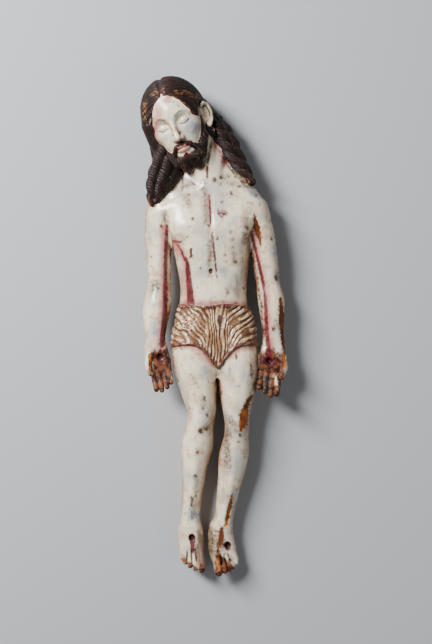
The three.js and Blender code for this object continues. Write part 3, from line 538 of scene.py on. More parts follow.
# %% Head
CROWN, CHIN, THIRD = 30, -44, 22
EYES = (CROWN + CHIN) / 2
BROW = CHIN + 2 * THIRD
NOSE = CHIN + THIRD
MOUTH = NOSE - THIRD / 3
EYE_APART = 10
HEAD = matrix(move(-36.6, 194.5, 37), turn("Z", 24), turn("X", 10), turn("Y", -12))
TO_HEAD = np.linalg.inv(HEAD)


add_to_head, cut_head = on(HEAD)


def lash_line(side):
    eye = side * EYE_APART
    inner, outer = eye - side * 6.5, eye + side * 6
    return (
        (inner + side * 1.6, EYES - 1.6, 25), (eye - side * 1.6, EYES - 2.9, 26.8),
        (eye + side * 1.8, EYES - 2.8, 26.6), (outer - side * 1.2, EYES - 1.2, 24),
    )


add_to_head(ellipsoid((0, 0, 0), (25, CROWN, 30)), 3)
add_to_head(ellipsoid((0, -17, 8.5), (20.5, 27, 20.5)), 6)
add_to_head(ellipsoid((0, CHIN + 8, 16), (11, 8.5, 10)), 6)  # jaw
for side in (-1, 1):
    eye = side * EYE_APART
    inner, outer = eye - side * 6.5, eye + side * 6
    add_to_head(ellipsoid((side * 14, NOSE + 9, 17), (6.5, 6, 7)), 5)  # cheek bone
    add_to_head(rod((inner, BROW, 27, 1.4), (eye, BROW + 2, 26.2, 1.5), (outer, BROW - 1.5, 21.6, 1.3)), 4)
    cut_head(ellipsoid((eye, EYES + 0.4, 31), (7.4, 4.6, 5.4)), 4)  # socket
    add_to_head(ellipsoid((eye, EYES - 0.4, 21.4), (5.8, 4.4, 5.6)), 1)  # closed eye
    cut_head(rod(*((*p, 0.3) for p in lash_line(side))), 0.8)
    lid_fold = ((inner + side * 1.4, EYES + 1.4, 26.6, 0.35), (eye, EYES + 3.4, 27.2, 0.4))
    cut_head(rod(*lid_fold, (outer - side, EYES + 1.2, 24.6, 0.35)), 0.9)
    add_to_head(ellipsoid((side * 3.4, NOSE + 1.6, 29.4), (2.2, 2.4, 3)), 2)  # nostril wing
    cut_head(ellipsoid((side * 2, NOSE - 0.7, 31.2), (0.9, 0.7, 1.4)), 0.8)
add_to_head(rod((0, BROW - 2, 27.4, 2.3), (0, NOSE + 9, 31.4, 2.3), (0, NOSE + 2.4, 34, 2.8)), 2.6)
add_to_head(ellipsoid((0, MOUTH + 1.6, 27.2), (7, 1.9, 3)), 1.6)  # lips
add_to_head(ellipsoid((0, MOUTH - 1.9, 26.8), (5.6, 2.1, 3)), 1.6)
between_lips = [(px, MOUTH - 0.2, pz, 0.5) for px, pz in ((-6.4, 27.4), (0, 30.4), (6.4, 27.4))]
cut_head(rod(*between_lips), 0.6)
EAR = matrix(Matrix(HEAD.tolist()), move(25.4, (BROW + NOSE) / 2, 2), turn("Y", -40))
EAR_RIM = (
    (2.2, 2, 4.6, 1.2), (3, 7.8, 3.4, 1.5), (3.6, 10.4, -0.8, 1.6), (3.4, 7.4, -5.2, 1.6),
    (3, 0, -6.2, 1.5), (2.6, -6, -4, 1.6), (2.4, -9.8, 0.4, 2.2),
)
add_to_ear, cut_ear = on(EAR)
add_to_ear(ellipsoid((0.2, 0, -0.5), (2.4, 10.6, 6.2)), 1.5)
add_to_ear(rod(*EAR_RIM), 0.8)
cut_ear(ellipsoid((4.6, 0.6, -0.2), (3, 6.6, 3.6)), 1)
inner_fold = ((2.6, 5.6, -2, 0.9), (2.8, 0.6, -3, 1), (2.6, -4.4, -1.6, 0.9))
add_to_ear(rod(*inner_fold), 0.8)
tell("head carved")

# %% [markdown]
# Hair. The carver cut locks first and then drew the strands into them with a small gouge. The cap is
# combed down from a parting in wavy arcs, ringlets fall on both shoulders, and the beard ends in two
# points. Hair lives in its own block, so the painter can ask later which wood is hair.

# %% Hair and beard
BACK_LOCKS = [
    ((-40, 178, 22, 20), (-30, 158, 20, 17), (-36, 140, 22, 13)),
    ((-46, 166, 28, 13), (-44, 146, 28, 11), (-52, 126, 27, 8)),
    ((-20, 186, 22, 19), (-14, 164, 18, 16), (-8, 146, 18, 14)),
    ((-6.6, 182.6, 39.5, 4), (-4.6, 179, 38.8, 4.4), (-1.8, 174.6, 36.6, 3.4), (2, 168, 32, 2.4)),
    ((-15, 203, 18, 10.5), (-5, 191, 21, 11), (3, 174, 20, 10), (14, 154, 20, 9), (27, 137, 22, 6)),
]
RINGLETS = [
    ((-46, 163, 44, 5), (-52, 149, 44, 5.4), (-56.4, 134, 42, 5.6), (-57.6, 121, 40, 4.6),
     (-57, 113, 38, 3)),
    ((-39, 160, 42, 6), (-43.6, 146, 43, 6), (-49, 131, 42, 5.6), (-52.4, 116, 40, 3.4)),
    ((-33, 156, 37, 6), (-36.6, 143, 38, 6.4), (-42.4, 130, 39, 5), (-47, 121, 39, 3.4)),
    ((3, 190, 25, 5.4), (9, 180, 27, 7), (15, 168, 28, 7.4), (20, 157, 29, 7), (27, 145, 31, 6),
     (34, 133, 34, 3.4)),
    ((-2, 190, 29, 4.6), (4.6, 177, 33, 5.4), (11, 163, 35, 5.8), (18.6, 151, 36, 5.2),
     (26.6, 141, 37, 4.4), (34, 134, 38, 2.8)),
]
HAIR_BOX = ((-73, 104, -3), (42, 238, 78))
hair = body.part(*HAIR_BOX)
LUMP = 13.0  # length of one lump of a ringlet
add_hair, _ = on(HEAD, hair)


def beard_wave(hx, hy):
    return hx * (1 + 0.1 * np.clip(-32 - hy, 0, 20)) + 1.2 * np.sin(hy / 2.6 + 0.3 * hx)


def back_wave(x, y, z):
    slope = np.clip((x + 34) / 88, -0.3, 0.55)
    return x + slope * (y - 170) + 0.7 * z + 1.8 * np.sin(y / 5.2 + x / 9)


def cap_wave(x, y, z):
    return z - 0.55 * y + 2 * np.sin(y / 6) + 0.2 * np.abs(x) + 0.7 * np.sin(x / 3.1 + z / 7)


def strands(wave, width, depth):
    """Grooves a width apart, with finer ones between them."""
    turns = wave * math.pi / width
    return depth * (0.55 - 0.8 * np.abs(np.sin(turns)) ** 0.8 - 0.3 * np.abs(np.sin(3 * turns)))


def beard_strands(value, x, y, z):
    hx, hy, hz = local(TO_HEAD, x, y, z)
    here = ramp((NOSE - 1 - hy) / 3) * ramp((hz + 2) / 6)
    return value + here * strands(beard_wave(hx, hy), 2.9, 1.0)


def back_strands(value, x, y, z):
    return value + ramp((200 - y) / 12) * strands(back_wave(x, y, z), 4.4, 1.3)


def combed_cap():
    cap = ellipsoid((-0.5, 1, -3), (29.9, 34, 32.5))
    face = ellipsoid((0, -16, 37), (21.5, 38, 33))
    ear = ellipsoid((30, (BROW + NOSE) / 2, 7), (9.5, 12.5, 10))

    def distance(x, y, z):
        combed = strands(cap_wave(x, y, z), 4.6, 1.25) * np.clip(np.abs(x) / 4, 0.2, 1)
        out = cap.distance(x, y, z) + combed + 0.5 + 1.2 * bell(x / 1.6)
        return soft_max(soft_max(out, -face.distance(x, y, z), 2), -ear.distance(x, y, z), 2)

    return Form(cap.low, cap.high, distance)


def ringlet(points):
    """Two strands twisted round each other, each with finer strands along it."""
    core = rod(*points)
    top, bottom = np.array(points[0]), np.array(points[-1])

    def distance(x, y, z):
        along = top[1] - y
        t = np.clip(along / (top[1] - bottom[1]), 0, 1)
        middle = top + (bottom - top) * t[..., None]
        around = np.arctan2(z - middle[..., 2], x - middle[..., 0]) + math.pi * along / LUMP
        lump = 1.0 * (1 - 1.6 * np.abs(np.sin(around)))
        strand = 0.75 * (0.6 - np.abs(np.sin(around * 4.5 + along * math.pi / LUMP)) ** 0.8)
        return core.distance(x, y, z) + lump + strand + 0.2 * np.abs(np.sin(around * 13.5))

    return Form(core.low, core.high, distance)


for lock in BACK_LOCKS:
    hair.add(rod(*lock), 3)
hair.change(*HAIR_BOX, back_strands)
for side in (-1, 1):
    cheek = ((21, EYES - 4, 8, 2.8), (17.4, MOUTH + 2, 12, 5.8), (9, CHIN + 5, 16.5, 8))
    point = ((4, CHIN + 4, 20, 7), (5, CHIN - 3, 18, 5.2), (4.8, CHIN - 6.6, 16.4, 2.6))
    moustache = (
        (0.6, NOSE - 3.8, 29, 1.4), (6, NOSE - 5.4, 27, 2.1), (10.6, MOUTH - 4, 22.6, 2.5),
        (12.4, MOUTH - 9, 19, 3),
    )
    for tuft, blend in ((cheek, 2.5), (point, 1.4), (moustache, 1.6)):
        add_hair(rod(*((side * px, *rest) for px, *rest in tuft)), blend)
add_hair(rod((0, MOUTH - 6, 25.4, 1.8), (0, CHIN + 6, 23, 4)), 2)
beard_box = placed(Form((-22, CHIN - 12, -6), (22, NOSE + 2, 34), None), HEAD)
hair.change(beard_box.low, beard_box.high, beard_strands)
add_hair(combed_cap(), 0.8)
add_hair(rod((-19, 16, 8, 6), (-24, 0, 14, 6), (-24.5, -16, 13, 6), (-22, -34, 9, 6.5)), 2)
for lock in RINGLETS:
    hair.add(ringlet(lock), 0.9)
tell("hair carved")

# %% [markdown]
# The marks of its life: blood that the painter drew, and places where knocks took the paint off. Each
# mark is a stroke through a few points with a radius, on the plane of the photograph. They were read
# off in millimetres, and the noise in the paint makes their edges ragged.

# %% Marks
BLOOD = [
    ((-5, 122, 0.7), (-3.2, 96, 0.8)), ((-2.4, 88, 0.9), (0, 66, 0.9), (2.3, 45.5, 0.5)),
    ((-38.2, 79.6, 0.7), (-31.7, 78.4, 0.8), (-24.4, 83.3, 0.6)),
    ((-34, 76, 0.5), (-30, 70, 0.7), (-27.4, 62, 0.6)),
    ((-26, 64, 0.9), (-24.6, 56, 1.8), (-23.4, 42, 2.4), (-21.6, 20.7, 3.4)),
    ((-49.9, -22, 2), (-49.6, -29, 3.6)), ((50.4, -24, 2), (50.2, -32, 3.8)),
    ((44, -30, 1.6), (56, -33, 1.6)),
    ((-43.7, 93.4, 1.2), (-45.2, 56, 1.7), (-45.5, 20.7, 1.7), (-48.3, -16, 2.4)),
    ((33.6, 88, 1), (40.5, 60, 1.3), (46.5, 32.7, 1.4), (47.4, 8.7, 1.4), (50.1, -29.9, 2.2)),
    ((19.8, -22, 0.8), (20.2, -29, 0.9)), ((-2.9, 170, 0.8), (-6.4, 150.6, 1), (-7, 138, 0.8)),
    ((-26, 146, 0.9), (-18.6, 132, 1)), ((-29, 141, 0.9), (-29.8, 126.5, 0.8)),
    ((3, 108, 0.9), (4.4, 104, 1)), ((7, 109, 0.9), (9.6, 104, 1.3)), ((5.6, 102.4, 0.7), (7.6, 101, 0.6)),
    ((11, 106, 0.6), (11.4, 104, 0.5)), ((-20.4, -193.6, 3.2), (-20.2, -206, 1.2)),
    ((11.8, -200.4, 3.1), (12.2, -203, 2.4)),
]
PINK = [
    ((-35, 77, 3), (-31, 70, 3.6), (-26.6, 60, 3.2), (-25, 44, 3.4), (-22, 22, 5)),
    ((-30, 21.5, 2), (0, 23, 1.8), (30, 21.5, 1.8)), ((-46, 92, 3), (-47.5, 20, 3), (-49, -18, 4)),
    ((36, 88, 2.6), (48, 30, 3), (51, -26, 4)), ((-5.6, 122, 1.6), (-2, 92, 1.4)),
    ((14, -27, 2.6), (24, -19, 2), (34, -19, 2)), ((-36, -16, 2), (-22, -17, 2), (-4, -33, 2)),
    ((-56, 170, 2), (-52, 200, 2), (-40, 214, 2)), ((-20, 160, 3), (-25, 146, 3)),
    ((2, 168, 2), (10, 150, 2)),
]
BARE_WOOD = [
    ((37, 104, 0.6), (39, 92, 3.1), (42.8, 75, 0.6)), ((60.6, 27, 1), (62.4, 6, 3), (64.6, -18, 2.4)),
    ((34, -63, 1.2), (28.8, -73, 2.4), (26.8, -81, 4), (26.4, -88, 3.8), (24.4, -95.6, 0.8)),
    ((16.4, -154, 0.6), (14, -166, 1.8), (10.6, -181, 1.6)), ((7, -184, 1), (6, -192, 2.6), (4.6, -200, 2)),
    ((-59.6, -26, 1.2), (-58.4, -41, 1.4)), ((64.6, -22, 1.2), (64.2, -36, 1.4)),
    ((2.4, -213, 1.6), (4, -222, 1.6)), ((-21.8, 72, 1.2), (-21.4, 65, 1.5)),
]
DARK_WOOD = [
    ((37, 104, 1), (39, 92, 3.4), (42.8, 75, 1)), ((60.6, 27, 1.4), (62.4, 6, 3.4), (64.6, -18, 3)),
    ((34, -62, 2.4), (28, -72.4, 3)), ((-21.8, 72, 2), (-21.4, 65, 2)),
    ((7, -184, 2), (6, -192, 3.4), (4.6, -200, 3)),
]
BROWN_STAIN = [
    ((-55, -25, 4.6), (-52, -40, 9), (-50, -58, 12)), ((-44, -40, 4), (-42, -54, 5)),
    ((-45, -22, 3), (-43, -40, 4)), ((51, -25, 6), (54, -38, 11), (54, -66, 12)),
    ((44, -25, 3.4), (44, -40, 5), (42, -58, 5)), ((60, -28, 5), (60, -50, 5)),
    ((-12, -221, 3.4), (-11.6, -228, 4)), ((6, -196, 3), (5, -206, 4), (8, -228, 8)),
    ((13, -212, 2), (17, -228, 5)), ((-29, -212, 1.8), (-25, -217, 3), (-18, -224, 3.4)),
    ((-43.6, 40, 1), (-44, 10, 1.6), (-46, -10, 2)), ((36, 66, 0.8), (43, 20, 1.2), (45.5, -8, 1.6)),
]
TEAL_STAIN = [((46.6, -47, 2.8), (48, -57, 3.8))]
LEFT_CREAM = [
    ((55, -43, 0.8), (57, -52, 1.4)), ((-57.6, -32, 0.6), (-56.8, -44, 0.8)),
    ((3, -193, 1), (8, -209, 1.6), (12.6, -212, 1.4)),
]
BLUE_STAIN = [
    ((-20.5, 189, 5), (-18.5, 180, 4.4)), ((36.3, 124.6, 3), (40, 118, 2.5)),
    ((7.8, 54.7, 3), (9, 48, 2.4)), ((54.7, 74, 3), (55, 66, 3)), ((-10.4, -79, 3), (-9.4, -88, 2)),
    ((48, -47, 4), (49, -58, 4)), ((-9, -44, 4), (-8, -38, 3)), ((19, 100, 2), (18, 96, 1)),
    ((-56, 2, 4), (-54, -5, 3)), ((8, -220, 2), (8.4, -224, 2)), ((58, -2, 3), (58, -8, 3)),
    ((-22, -170, 5), (-16, -173, 5)), ((37, 122, 2), (30, 127, 1)), ((27, -38, 2), (27, -46, 2)),
    ((19, -150, 1), (18, -178, 1.4)),
]
KHAKI = [
    ((-5, -184, 2.6), (-5, -204, 5), (-2, -218, 4)), ((-5, -178, 2), (-1, -170, 1.4)),
    ((-15.4, -196, 1.4), (-16, -216, 2)),
]
MAUVE = [
    ((-15, -187, 1), (-12.4, -200, 4.2), (-11.6, -214, 4.6)), ((-14, -17, 1), (-2, -34, 1.4)),
    ((33.6, -33.6, 1), (34, -44.6, 1.3)),
]
# Soft brown along the sternum, the inner left shin, the armpits and other places: partly dirt, partly
# painted shade.
SOFT_DIRT_AND_SHADE = [
    ((-9.6, 134, 1), (-8.6, 112, 1.6), (-7.8, 97, 1.6)), ((-3.4, 80, 0.8), (-4.6, 50, 1.6)),
    ((13, -90, 3), (10.6, -130, 4), (7.6, -160, 2)),
    ((-46.6, 103, 2.4), (-45.4, 88, 2.4), (-44.4, 72, 1.6)),
    ((28.4, 108, 2), (29.6, 88, 2.6), (32, 76, 1.4)), ((-55, 40, 4), (-56, 32, 3.4)),
    ((-13, 208, 3.4), (-6, 198, 3)), ((18, 69, 2.4), (19.4, 60, 2)), ((-33, 125, 3), (-24, 117, 2)),
    ((-42, -12, 2), (-44, -22, 2)), ((52, -14, 3), (54, -20, 2)), ((-12, -66, 3), (-10, -74, 2)),
    ((-13, -96, 3), (-9, -92, 2)), ((14, -70, 2.4), (20, -74, 3)), ((56, 50, 2.4), (58, 43, 2)),
    ((33, 112, 2.4), (36, 106, 2)),
]
GRIME = [
    ((-9.8, 134, 1.2), (-8.8, 112, 1.8), (-7.8, 97, 1.6)), ((-3.4, 53, 1.2), (-4.2, 48, 1.2)),
    ((-3, 78, 1), (-4, 58, 1.4)), ((11.6, 34.6, 0.9), (11.6, 30.6, 0.7)), ((17, 68, 1.6), (18.4, 62, 1.4)),
    ((16, 82, 1), (17, 74, 1.4)), ((33.8, -33.6, 1), (34, -44.6, 1.3)),
    ((-9.7, -64.9, 1.3), (-9.4, -68, 1)), ((-10.6, -72.2, 1), (-10.8, -75.6, 1.2)),
    ((-10.6, -93, 1.6), (-11.6, -98, 1.2)), ((-4, -91, 1), (-4.4, -96, 1)),
    ((-15.8, -113, 0.8), (-16, -114, 0.8)), ((-18, -137, 1), (-18, -139.6, 1)),
    ((12, -96, 2), (11.4, -122, 2.4)), ((14, -84, 2.4), (20, -94, 2)),
    ((-21.6, -156, 1.3), (-21.2, -163, 1)), ((-20.8, -168, 1.2), (-20.8, -175, 1)),
    ((8.6, 138, 1.4), (14, 139, 1)), ((27, 131, 1.2), (27.2, 130, 1)), ((8, -186, 2), (-2, -190, 3)),
    ((-1, -190, 3), (-3, -206, 3.4)), ((-46, 106, 2), (-45, 96, 2)), ((-54, 40, 3), (-56, 32, 3)),
    ((58, 50, 1.4), (60, 46, 1.4)), ((27, 100, 1.6), (28, 78, 1.6)), ((57, 6, 1.2), (57, 0, 1.2)),
    ((-26, 118, 1.2), (-24, 112, 1)),
]
SPOTS = [
    (-20.2, 100.3, 1.1), (-5.3, 94.1, 1), (2.1, 82.8, 1.3), (14.7, 88.5, 1.2), (26.7, 36.7, 0.9),
    (-49.2, 93.4, 1), (15.7, 124.5, 1.4), (7, 115.7, 0.9), (9.4, 66.8, 0.6), (52.3, 82, 1.2),
    (56.8, 46.2, 1.7), (19.4, 60.4, 1.2), (22.9, 129.6, 1), (-0.2, 136.3, 1.5), (6, 138.4, 1.2),
    (5, 132.7, 0.9), (-9, -64.8, 1.5), (-7.2, -80, 1.2), (-10.6, -73, 0.9), (-13.4, -94.5, 1.6),
    (-7.4, -93, 1.1), (-15.8, -114.4, 0.9), (-17.5, -136.5, 1.1), (-17, -155, 0.8), (-20.8, -157, 1.3),
    (-21, -164, 0.9), (23.4, -98.5, 1), (22, -105, 0.7), (14.6, -128, 0.8), (11.8, 34, 0.9),
    (12, 31.4, 0.8), (-21.4, -163, 1), (54, -0.6, 1.5), (-58.4, 66, 0.9), (22.2, -53.6, 0.6),
    (-24, 122, 0.7), (30, 92, 0.8), (-13, 55, 0.5), (-30, 100, 0.5), (38, 122, 0.9), (-52, 36, 0.7),
    (33, 60, 0.6), (-17, -50, 0.6), (6, -61, 0.6), (10, 74, 0.6), (-36, 110, 0.7),
]

FAR = 30.0  # millimetres, where no stroke is near


def seen(x, y, z):
    """Where the camera sees a place, on the plane of the marks."""
    larger = DISTANCE / (DISTANCE - (z - LEVEL))
    return VIEW[0] + (x - VIEW[0]) * larger, VIEW[1] + (y - VIEW[1]) * larger


def from_strokes(strokes, x, y):
    """The distance to the nearest stroke, minus inside it."""
    nearest = FAR
    for stroke in strokes:
        for (ax, ay, ar), (bx, by, br) in zip(stroke[:-1], stroke[1:]):
            dx, dy = bx - ax, by - ay
            t = np.clip(((x - ax) * dx + (y - ay) * dy) / (dx * dx + dy * dy), 0, 1)
            nearest = np.minimum(nearest, np.hypot(x - ax - t * dx, y - ay - t * dy) - (ar + (br - ar) * t))
    return nearest


CHIP = 0.35  # thickness of the paint and its ground
for stroke in BARE_WOOD:
    ends = np.array(stroke)
    low, high = ends.min(0)[:2] - 8, ends.max(0)[:2] + 8

    def chip(value, x, y, z, stroke=stroke):
        ragged = 0.5 * np.sin(x * 1.9 + 2 * np.sin(y * 0.8)) * np.sin(y * 1.3)
        inside = -from_strokes([stroke], *seen(x, y, z)) + ragged
        return value + CHIP * ramp(inside / 0.6)

    body.change((*low, 22), (*high, 60), chip)

WOUNDS = [(-49.9, -26.8, 31.6), (50.2, -30.5, 31.8), (-20.9, -193.1, 25), (12.1, -200.5, 23.2)]
WORN_HAIR = [
    ((-64, 190, 0.6), (-66, 198, 1.6), (-63, 208, 1)), ((-58, 214, 0.6), (-48, 219, 1)),
    ((-36, 217, 0.4), (-26, 216, 1.2), (-14, 212, 0.8)),
    ((-61, 118, 1.6), (-62, 113, 2.4), (-58, 110, 1.6)), ((9, 150, 0.6), (20, 141, 1), (31, 133, 1)),
]
for x, y, z in WOUNDS:
    body.cut(ellipsoid((x, y, z + 0.4), (2.4, 2.8, 3.2)), 1.6)
body.cut(rod((-22.6, 70.5, 49.6, 1.1), (-20.4, 69.8, 49.2, 1.1)), 0.8)  # the cut in the side
tell("marks")

# %% [markdown]
# Now the block becomes a mesh. The zero level of the samples is the skin of the wood. Decimating it
# with a small charge on edge length keeps triangles where the knife was busy, and still leaves enough
# on the smooth body to carry the painted marks.

# %% Mesh
whole = Block(*BLOCK)
whole.field[:] = body.field
whole.field[cloth.window] = soft_min(whole.field[cloth.window], cloth.field, 0.5)
whole.field[hair.window] = soft_min(whole.field[hair.window], hair.field, 0.5)
floor_side = whole.slices(BLOCK[0], (BLOCK[1][0], BLOCK[1][1], 3))
whole.field[floor_side] = np.maximum(whole.field[floor_side], -whole.axes(floor_side)[2])

BAND = 3.0  # millimetres of distance that the grid keeps on both sides of the skin
grid = openvdb.FloatGrid(BAND)
grid.copyFromArray(np.clip(whole.field, -BAND, BAND))
points, quads = grid.convertToQuads(0.0)
points = points.astype(float) * SAMPLE + whole.low
tell(f"skin: {len(points)} points, {len(quads)} quads")


def outer_skin(points, quads):
    """Leaves out the small bubbles that soft joins trap inside the wood."""
    label = np.arange(len(points))
    while True:
        least = label[quads].min(1)
        new = label.copy()
        np.minimum.at(new, quads.ravel(), np.repeat(least, 4))
        new = new[new]
        if np.array_equal(new, label):
            break
        label = new
    names, counts = np.unique(label, return_counts=True)
    keep = label == names[counts.argmax()]
    place = np.cumsum(keep) - 1
    return points[keep], place[quads[keep[quads[:, 0]]]]


points, quads = outer_skin(points, quads)
points[:, 2] = np.maximum(points[:, 2], 0)


def mesh_object(name, points, faces):
    mesh = bpy.data.meshes.new(name)
    side = faces.shape[1]
    mesh.vertices.add(len(points))
    mesh.vertices.foreach_set("co", points.astype(np.float32).ravel())
    mesh.loops.add(faces.size)
    mesh.loops.foreach_set("vertex_index", faces.astype(np.int32).ravel())
    mesh.polygons.add(len(faces))
    mesh.polygons.foreach_set("loop_start", np.arange(0, faces.size, side, dtype=np.int32))
    mesh.update(calc_edges=True)
    made = bpy.data.objects.new(name, mesh)
    bpy.context.scene.collection.objects.link(made)
    return made


TRIANGLES = 194000
EDGE_CHARGE = 0.004
figure = mesh_object("carved_figure_painted", points, quads)
charged = figure.vertex_groups.new(name="charged")
charged.add(range(len(points)), 0.5, "REPLACE")
thin = figure.modifiers.new("thin", "DECIMATE")
thin.ratio = TRIANGLES / (2 * len(quads))
thin.use_collapse_triangulate = True
thin.vertex_group = "charged"
thin.vertex_group_factor = EDGE_CHARGE
fine = bpy.data.meshes.new_from_object(figure.evaluated_get(bpy.context.evaluated_depsgraph_get()))
figure.modifiers.clear()
figure.vertex_groups.clear()
figure.data = fine
figure.data.name = "carved_figure_painted"
tell(f"mesh: {len(fine.polygons)} triangles")

# %% [markdown]
# Each point of the mesh now learns what it is made of. A signed distance in millimetres is better than
# a painted mask: between two points it stays exact, so the shader can cut a sharp, ragged border at
# zero however coarse the mesh is.

# %% What each point is
count = len(fine.vertices)
place = np.empty(count * 3, np.float32)
fine.vertices.foreach_get("co", place)
place = place.reshape(-1, 3).astype(float)
normal = np.empty(count * 3, np.float32)
fine.vertices.foreach_get("normal", normal)
normal = normal.reshape(-1, 3).astype(float)
x, y, z = place.T
across, up = seen(x, y, z)
upward = normal[:, 2]
skin_here = body.at(place)
NOT_HERE = 9.0  # millimetres, far enough outside any mark
DEEPEST = 6  # millimetres, more than any edge of a layer needs


def where_in(part):
    """How far a point is inside one kind of wood, in millimetres."""
    inside = ((place >= part.low) & (place <= part.low + (part.size - 1) * part.sample)).all(1)
    made = np.full(count, -NOT_HERE)
    made[inside] = (skin_here - part.at(place))[inside]
    return np.clip(made, -DEEPEST, DEEPEST)


def relief(reach):
    """Plus on a ridge and minus in a groove, felt this far above and below the skin."""
    return (whole.at(place + normal * reach) + whole.at(place - normal * reach)) / reach


def on_top(distance):
    """Marks are on the side that faces up."""
    return np.where(upward > 0.02, distance, NOT_HERE)


hx, hy, hz = local(TO_HEAD, x, y, z)


def drawn_on_face(lines):
    """Fine brush lines on the face, in the head's own x and y."""
    return np.where(hz > 12, from_strokes(lines, hx, hy), NOT_HERE)


brows, lashes = [], []
for side in (-1, 1):
    eye = side * EYE_APART
    brows.append([(side * 4.6, BROW - 0.8, 0.8), (eye, BROW + 1.8, 0.7), (side * 16, BROW - 0.6, 0.2)])
    lashes.append([(px, py, 0.4) for px, py, pz in lash_line(side)])
lips = np.sqrt((hx / 6.4) ** 2 + ((hy - MOUTH) / 3.4) ** 2) * 3.4 - 3.4
lips = np.where(hz > 24, lips, NOT_HERE)

in_beard = (hy < NOSE - 1) & (hz > -2) & (np.abs(hx) < 22)
in_cap = (hy > -14) & (((hx + 0.5) / 29.9) ** 2 + ((hy - 1) / 34) ** 2 + ((hz + 3) / 32.5) ** 2 < 1.12)
on_face = (hz > 10) & (hy < CROWN) & (where_in(hair) < 0)
PIT = 3.3  # radius of the dark round a nail hole
FINE, BROAD = 0.9, 3.6  # how far off the skin the two reliefs are felt
pits = [np.hypot(x - wx, y - wy) - PIT for wx, wy, _ in WOUNDS]
THICKER = 0.3  # a thin mark loses about this much between the points of the mesh
POINT_VALUES = {
    "in_hair": where_in(hair),
    "in_cloth": where_in(cloth),
    "from_hem": np.minimum(from_hem(x, y), 20),
    "fold_height": cloth_folds(x, y, z),
    "from_waist": np.minimum(WAIST - y, 20),
    "fine_relief": relief(FINE) * np.where(on_face, 0.5, 1),
    "broad_relief": relief(BROAD),
    "worn_hair": from_strokes(WORN_HAIR, across, up),
    "nail_hole": np.minimum.reduce(pits) + NOT_HERE * (z < 10),
    "strand": np.select([in_beard, in_cap], [beard_wave(hx, hy), cap_wave(hx, hy, hz)], back_wave(x, y, z)),
    "turned_up": upward,
    "lash_line": drawn_on_face(lashes),
    "brow_line": drawn_on_face(brows),
    "lips": lips,
    "on_face": on_face.astype(float),
}
# Marks that are strokes on the side facing up. Thin ones are drawn thicker.
dots = [((a, b, r), (a + 0.3, b - r, r * 0.7)) for a, b, r in SPOTS]
MARKS = {
    "pink": PINK, "bare_wood": BARE_WOOD, "dark_wood": DARK_WOOD, "brown_stain": BROWN_STAIN,
    "teal_stain": TEAL_STAIN, "left_cream": LEFT_CREAM, "blue_stain": BLUE_STAIN, "soft_dirt_and_shade": SOFT_DIRT_AND_SHADE,
    "khaki": KHAKI, "mauve": MAUVE, "blood": BLOOD, "grime": GRIME, "spots": dots,
}
THIN = {"blood": THICKER, "grime": THICKER, "spots": 2 * THICKER}
for name, strokes in MARKS.items():
    POINT_VALUES[name] = on_top(from_strokes(strokes, across, up) - THIN.get(name, 0))
POINT_VALUES["wood_edge"] = np.abs(POINT_VALUES["bare_wood"] - 0.2) - 0.3

for name, values in POINT_VALUES.items():
    attribute = fine.attributes.new(name, "FLOAT", "POINT")
    attribute.data.foreach_set("value", values.astype(np.float32))
    inside = int((values < 0).sum())
    print(f"{name}: {values.min():.2f} to {values.max():.2f}, below 0 at {inside} points")

fine.transform(Matrix.Scale(MM, 4))
fine.shade_smooth()
tell("points know what they are")

# %% [markdown]
# The paint. Each finish is a node group that puts out a colour and a height, and a roughness if it
# isn't even: ivory skin, hair, gilt cloth and bare wood. So each can be tuned on its own. Two small
# groups serve them all: the worn edge makes a mask from a distance and a little noise, and the fine
# strands are grooves side by side.

# %% Node helpers
tree = None  # the node tree that the helpers add to
gives = None  # the sockets that the current node group puts out


def colour(red, green, blue):
    """A paint colour as it looks on a screen, 0 to 255, in the linear values of the shader."""
    screen = [level / 255 for level in (red, green, blue)]
    return (*(s / 12.92 if s < 0.0405 else ((s + 0.055) / 1.055) ** 2.4 for s in screen), 1.0)


def fill(made, inputs):
    """Gives each socket its value, or a link when the value is another node's output."""
    for socket, value in inputs.items():
        if isinstance(value, bpy.types.NodeSocket):
            tree.links.new(value, made.inputs[socket])
        else:
            made.inputs[socket].default_value = value
    return made


def node(kind, inputs=(), **settings):
    made = tree.nodes.new("ShaderNode" + kind)
    for name, value in settings.items():
        setattr(made, name, value)
    return fill(made, dict(inputs))


def use(made, inputs):
    """The outputs of a finished node group, placed in the current tree."""
    return node("Group", inputs, node_tree=made).outputs


def here():
    return node("TexCoord").outputs["Object"]


def maths(operation, a, b=0.0):
    return node("Math", {0: a, 1: b}, operation=operation).outputs[0]


def plus(a, b):
    return maths("ADD", a, b)


def minus(a, b):
    return maths("SUBTRACT", a, b)


def times(a, b):
    return maths("MULTIPLY", a, b)


def larger(a, b):
    return maths("MAXIMUM", a, b)


def between(value, low, high, to_low=0.0, to_high=1.0):
    """value stretched from low..high to to_low..to_high, smooth at both ends."""
    inputs = {"Value": value, "From Min": low, "From Max": high, "To Min": to_low, "To Max": to_high}
    return node("MapRange", inputs, interpolation_type="SMOOTHSTEP").outputs[0]


def over(mask, below, above):
    """One colour laid over another by a mask."""
    return node("Mix", {0: mask, 6: below, 7: above}, data_type="RGBA").outputs[2]


def over_value(mask, below, above):
    return node("Mix", {0: mask, 2: below, 3: above}, data_type="FLOAT").outputs[0]


def noise(scale, detail=2.0, rough=0.5, stretch=None):
    """Noise on the figure's own coordinates, in lumps of about 1 / scale metres."""
    where = here()
    if stretch:
        where = node("Mapping", {"Vector": where, "Scale": stretch}).outputs[0]
    inputs = {"Vector": where, "Scale": scale, "Detail": detail, "Roughness": rough}
    return node("TexNoise", inputs).outputs["Fac"]


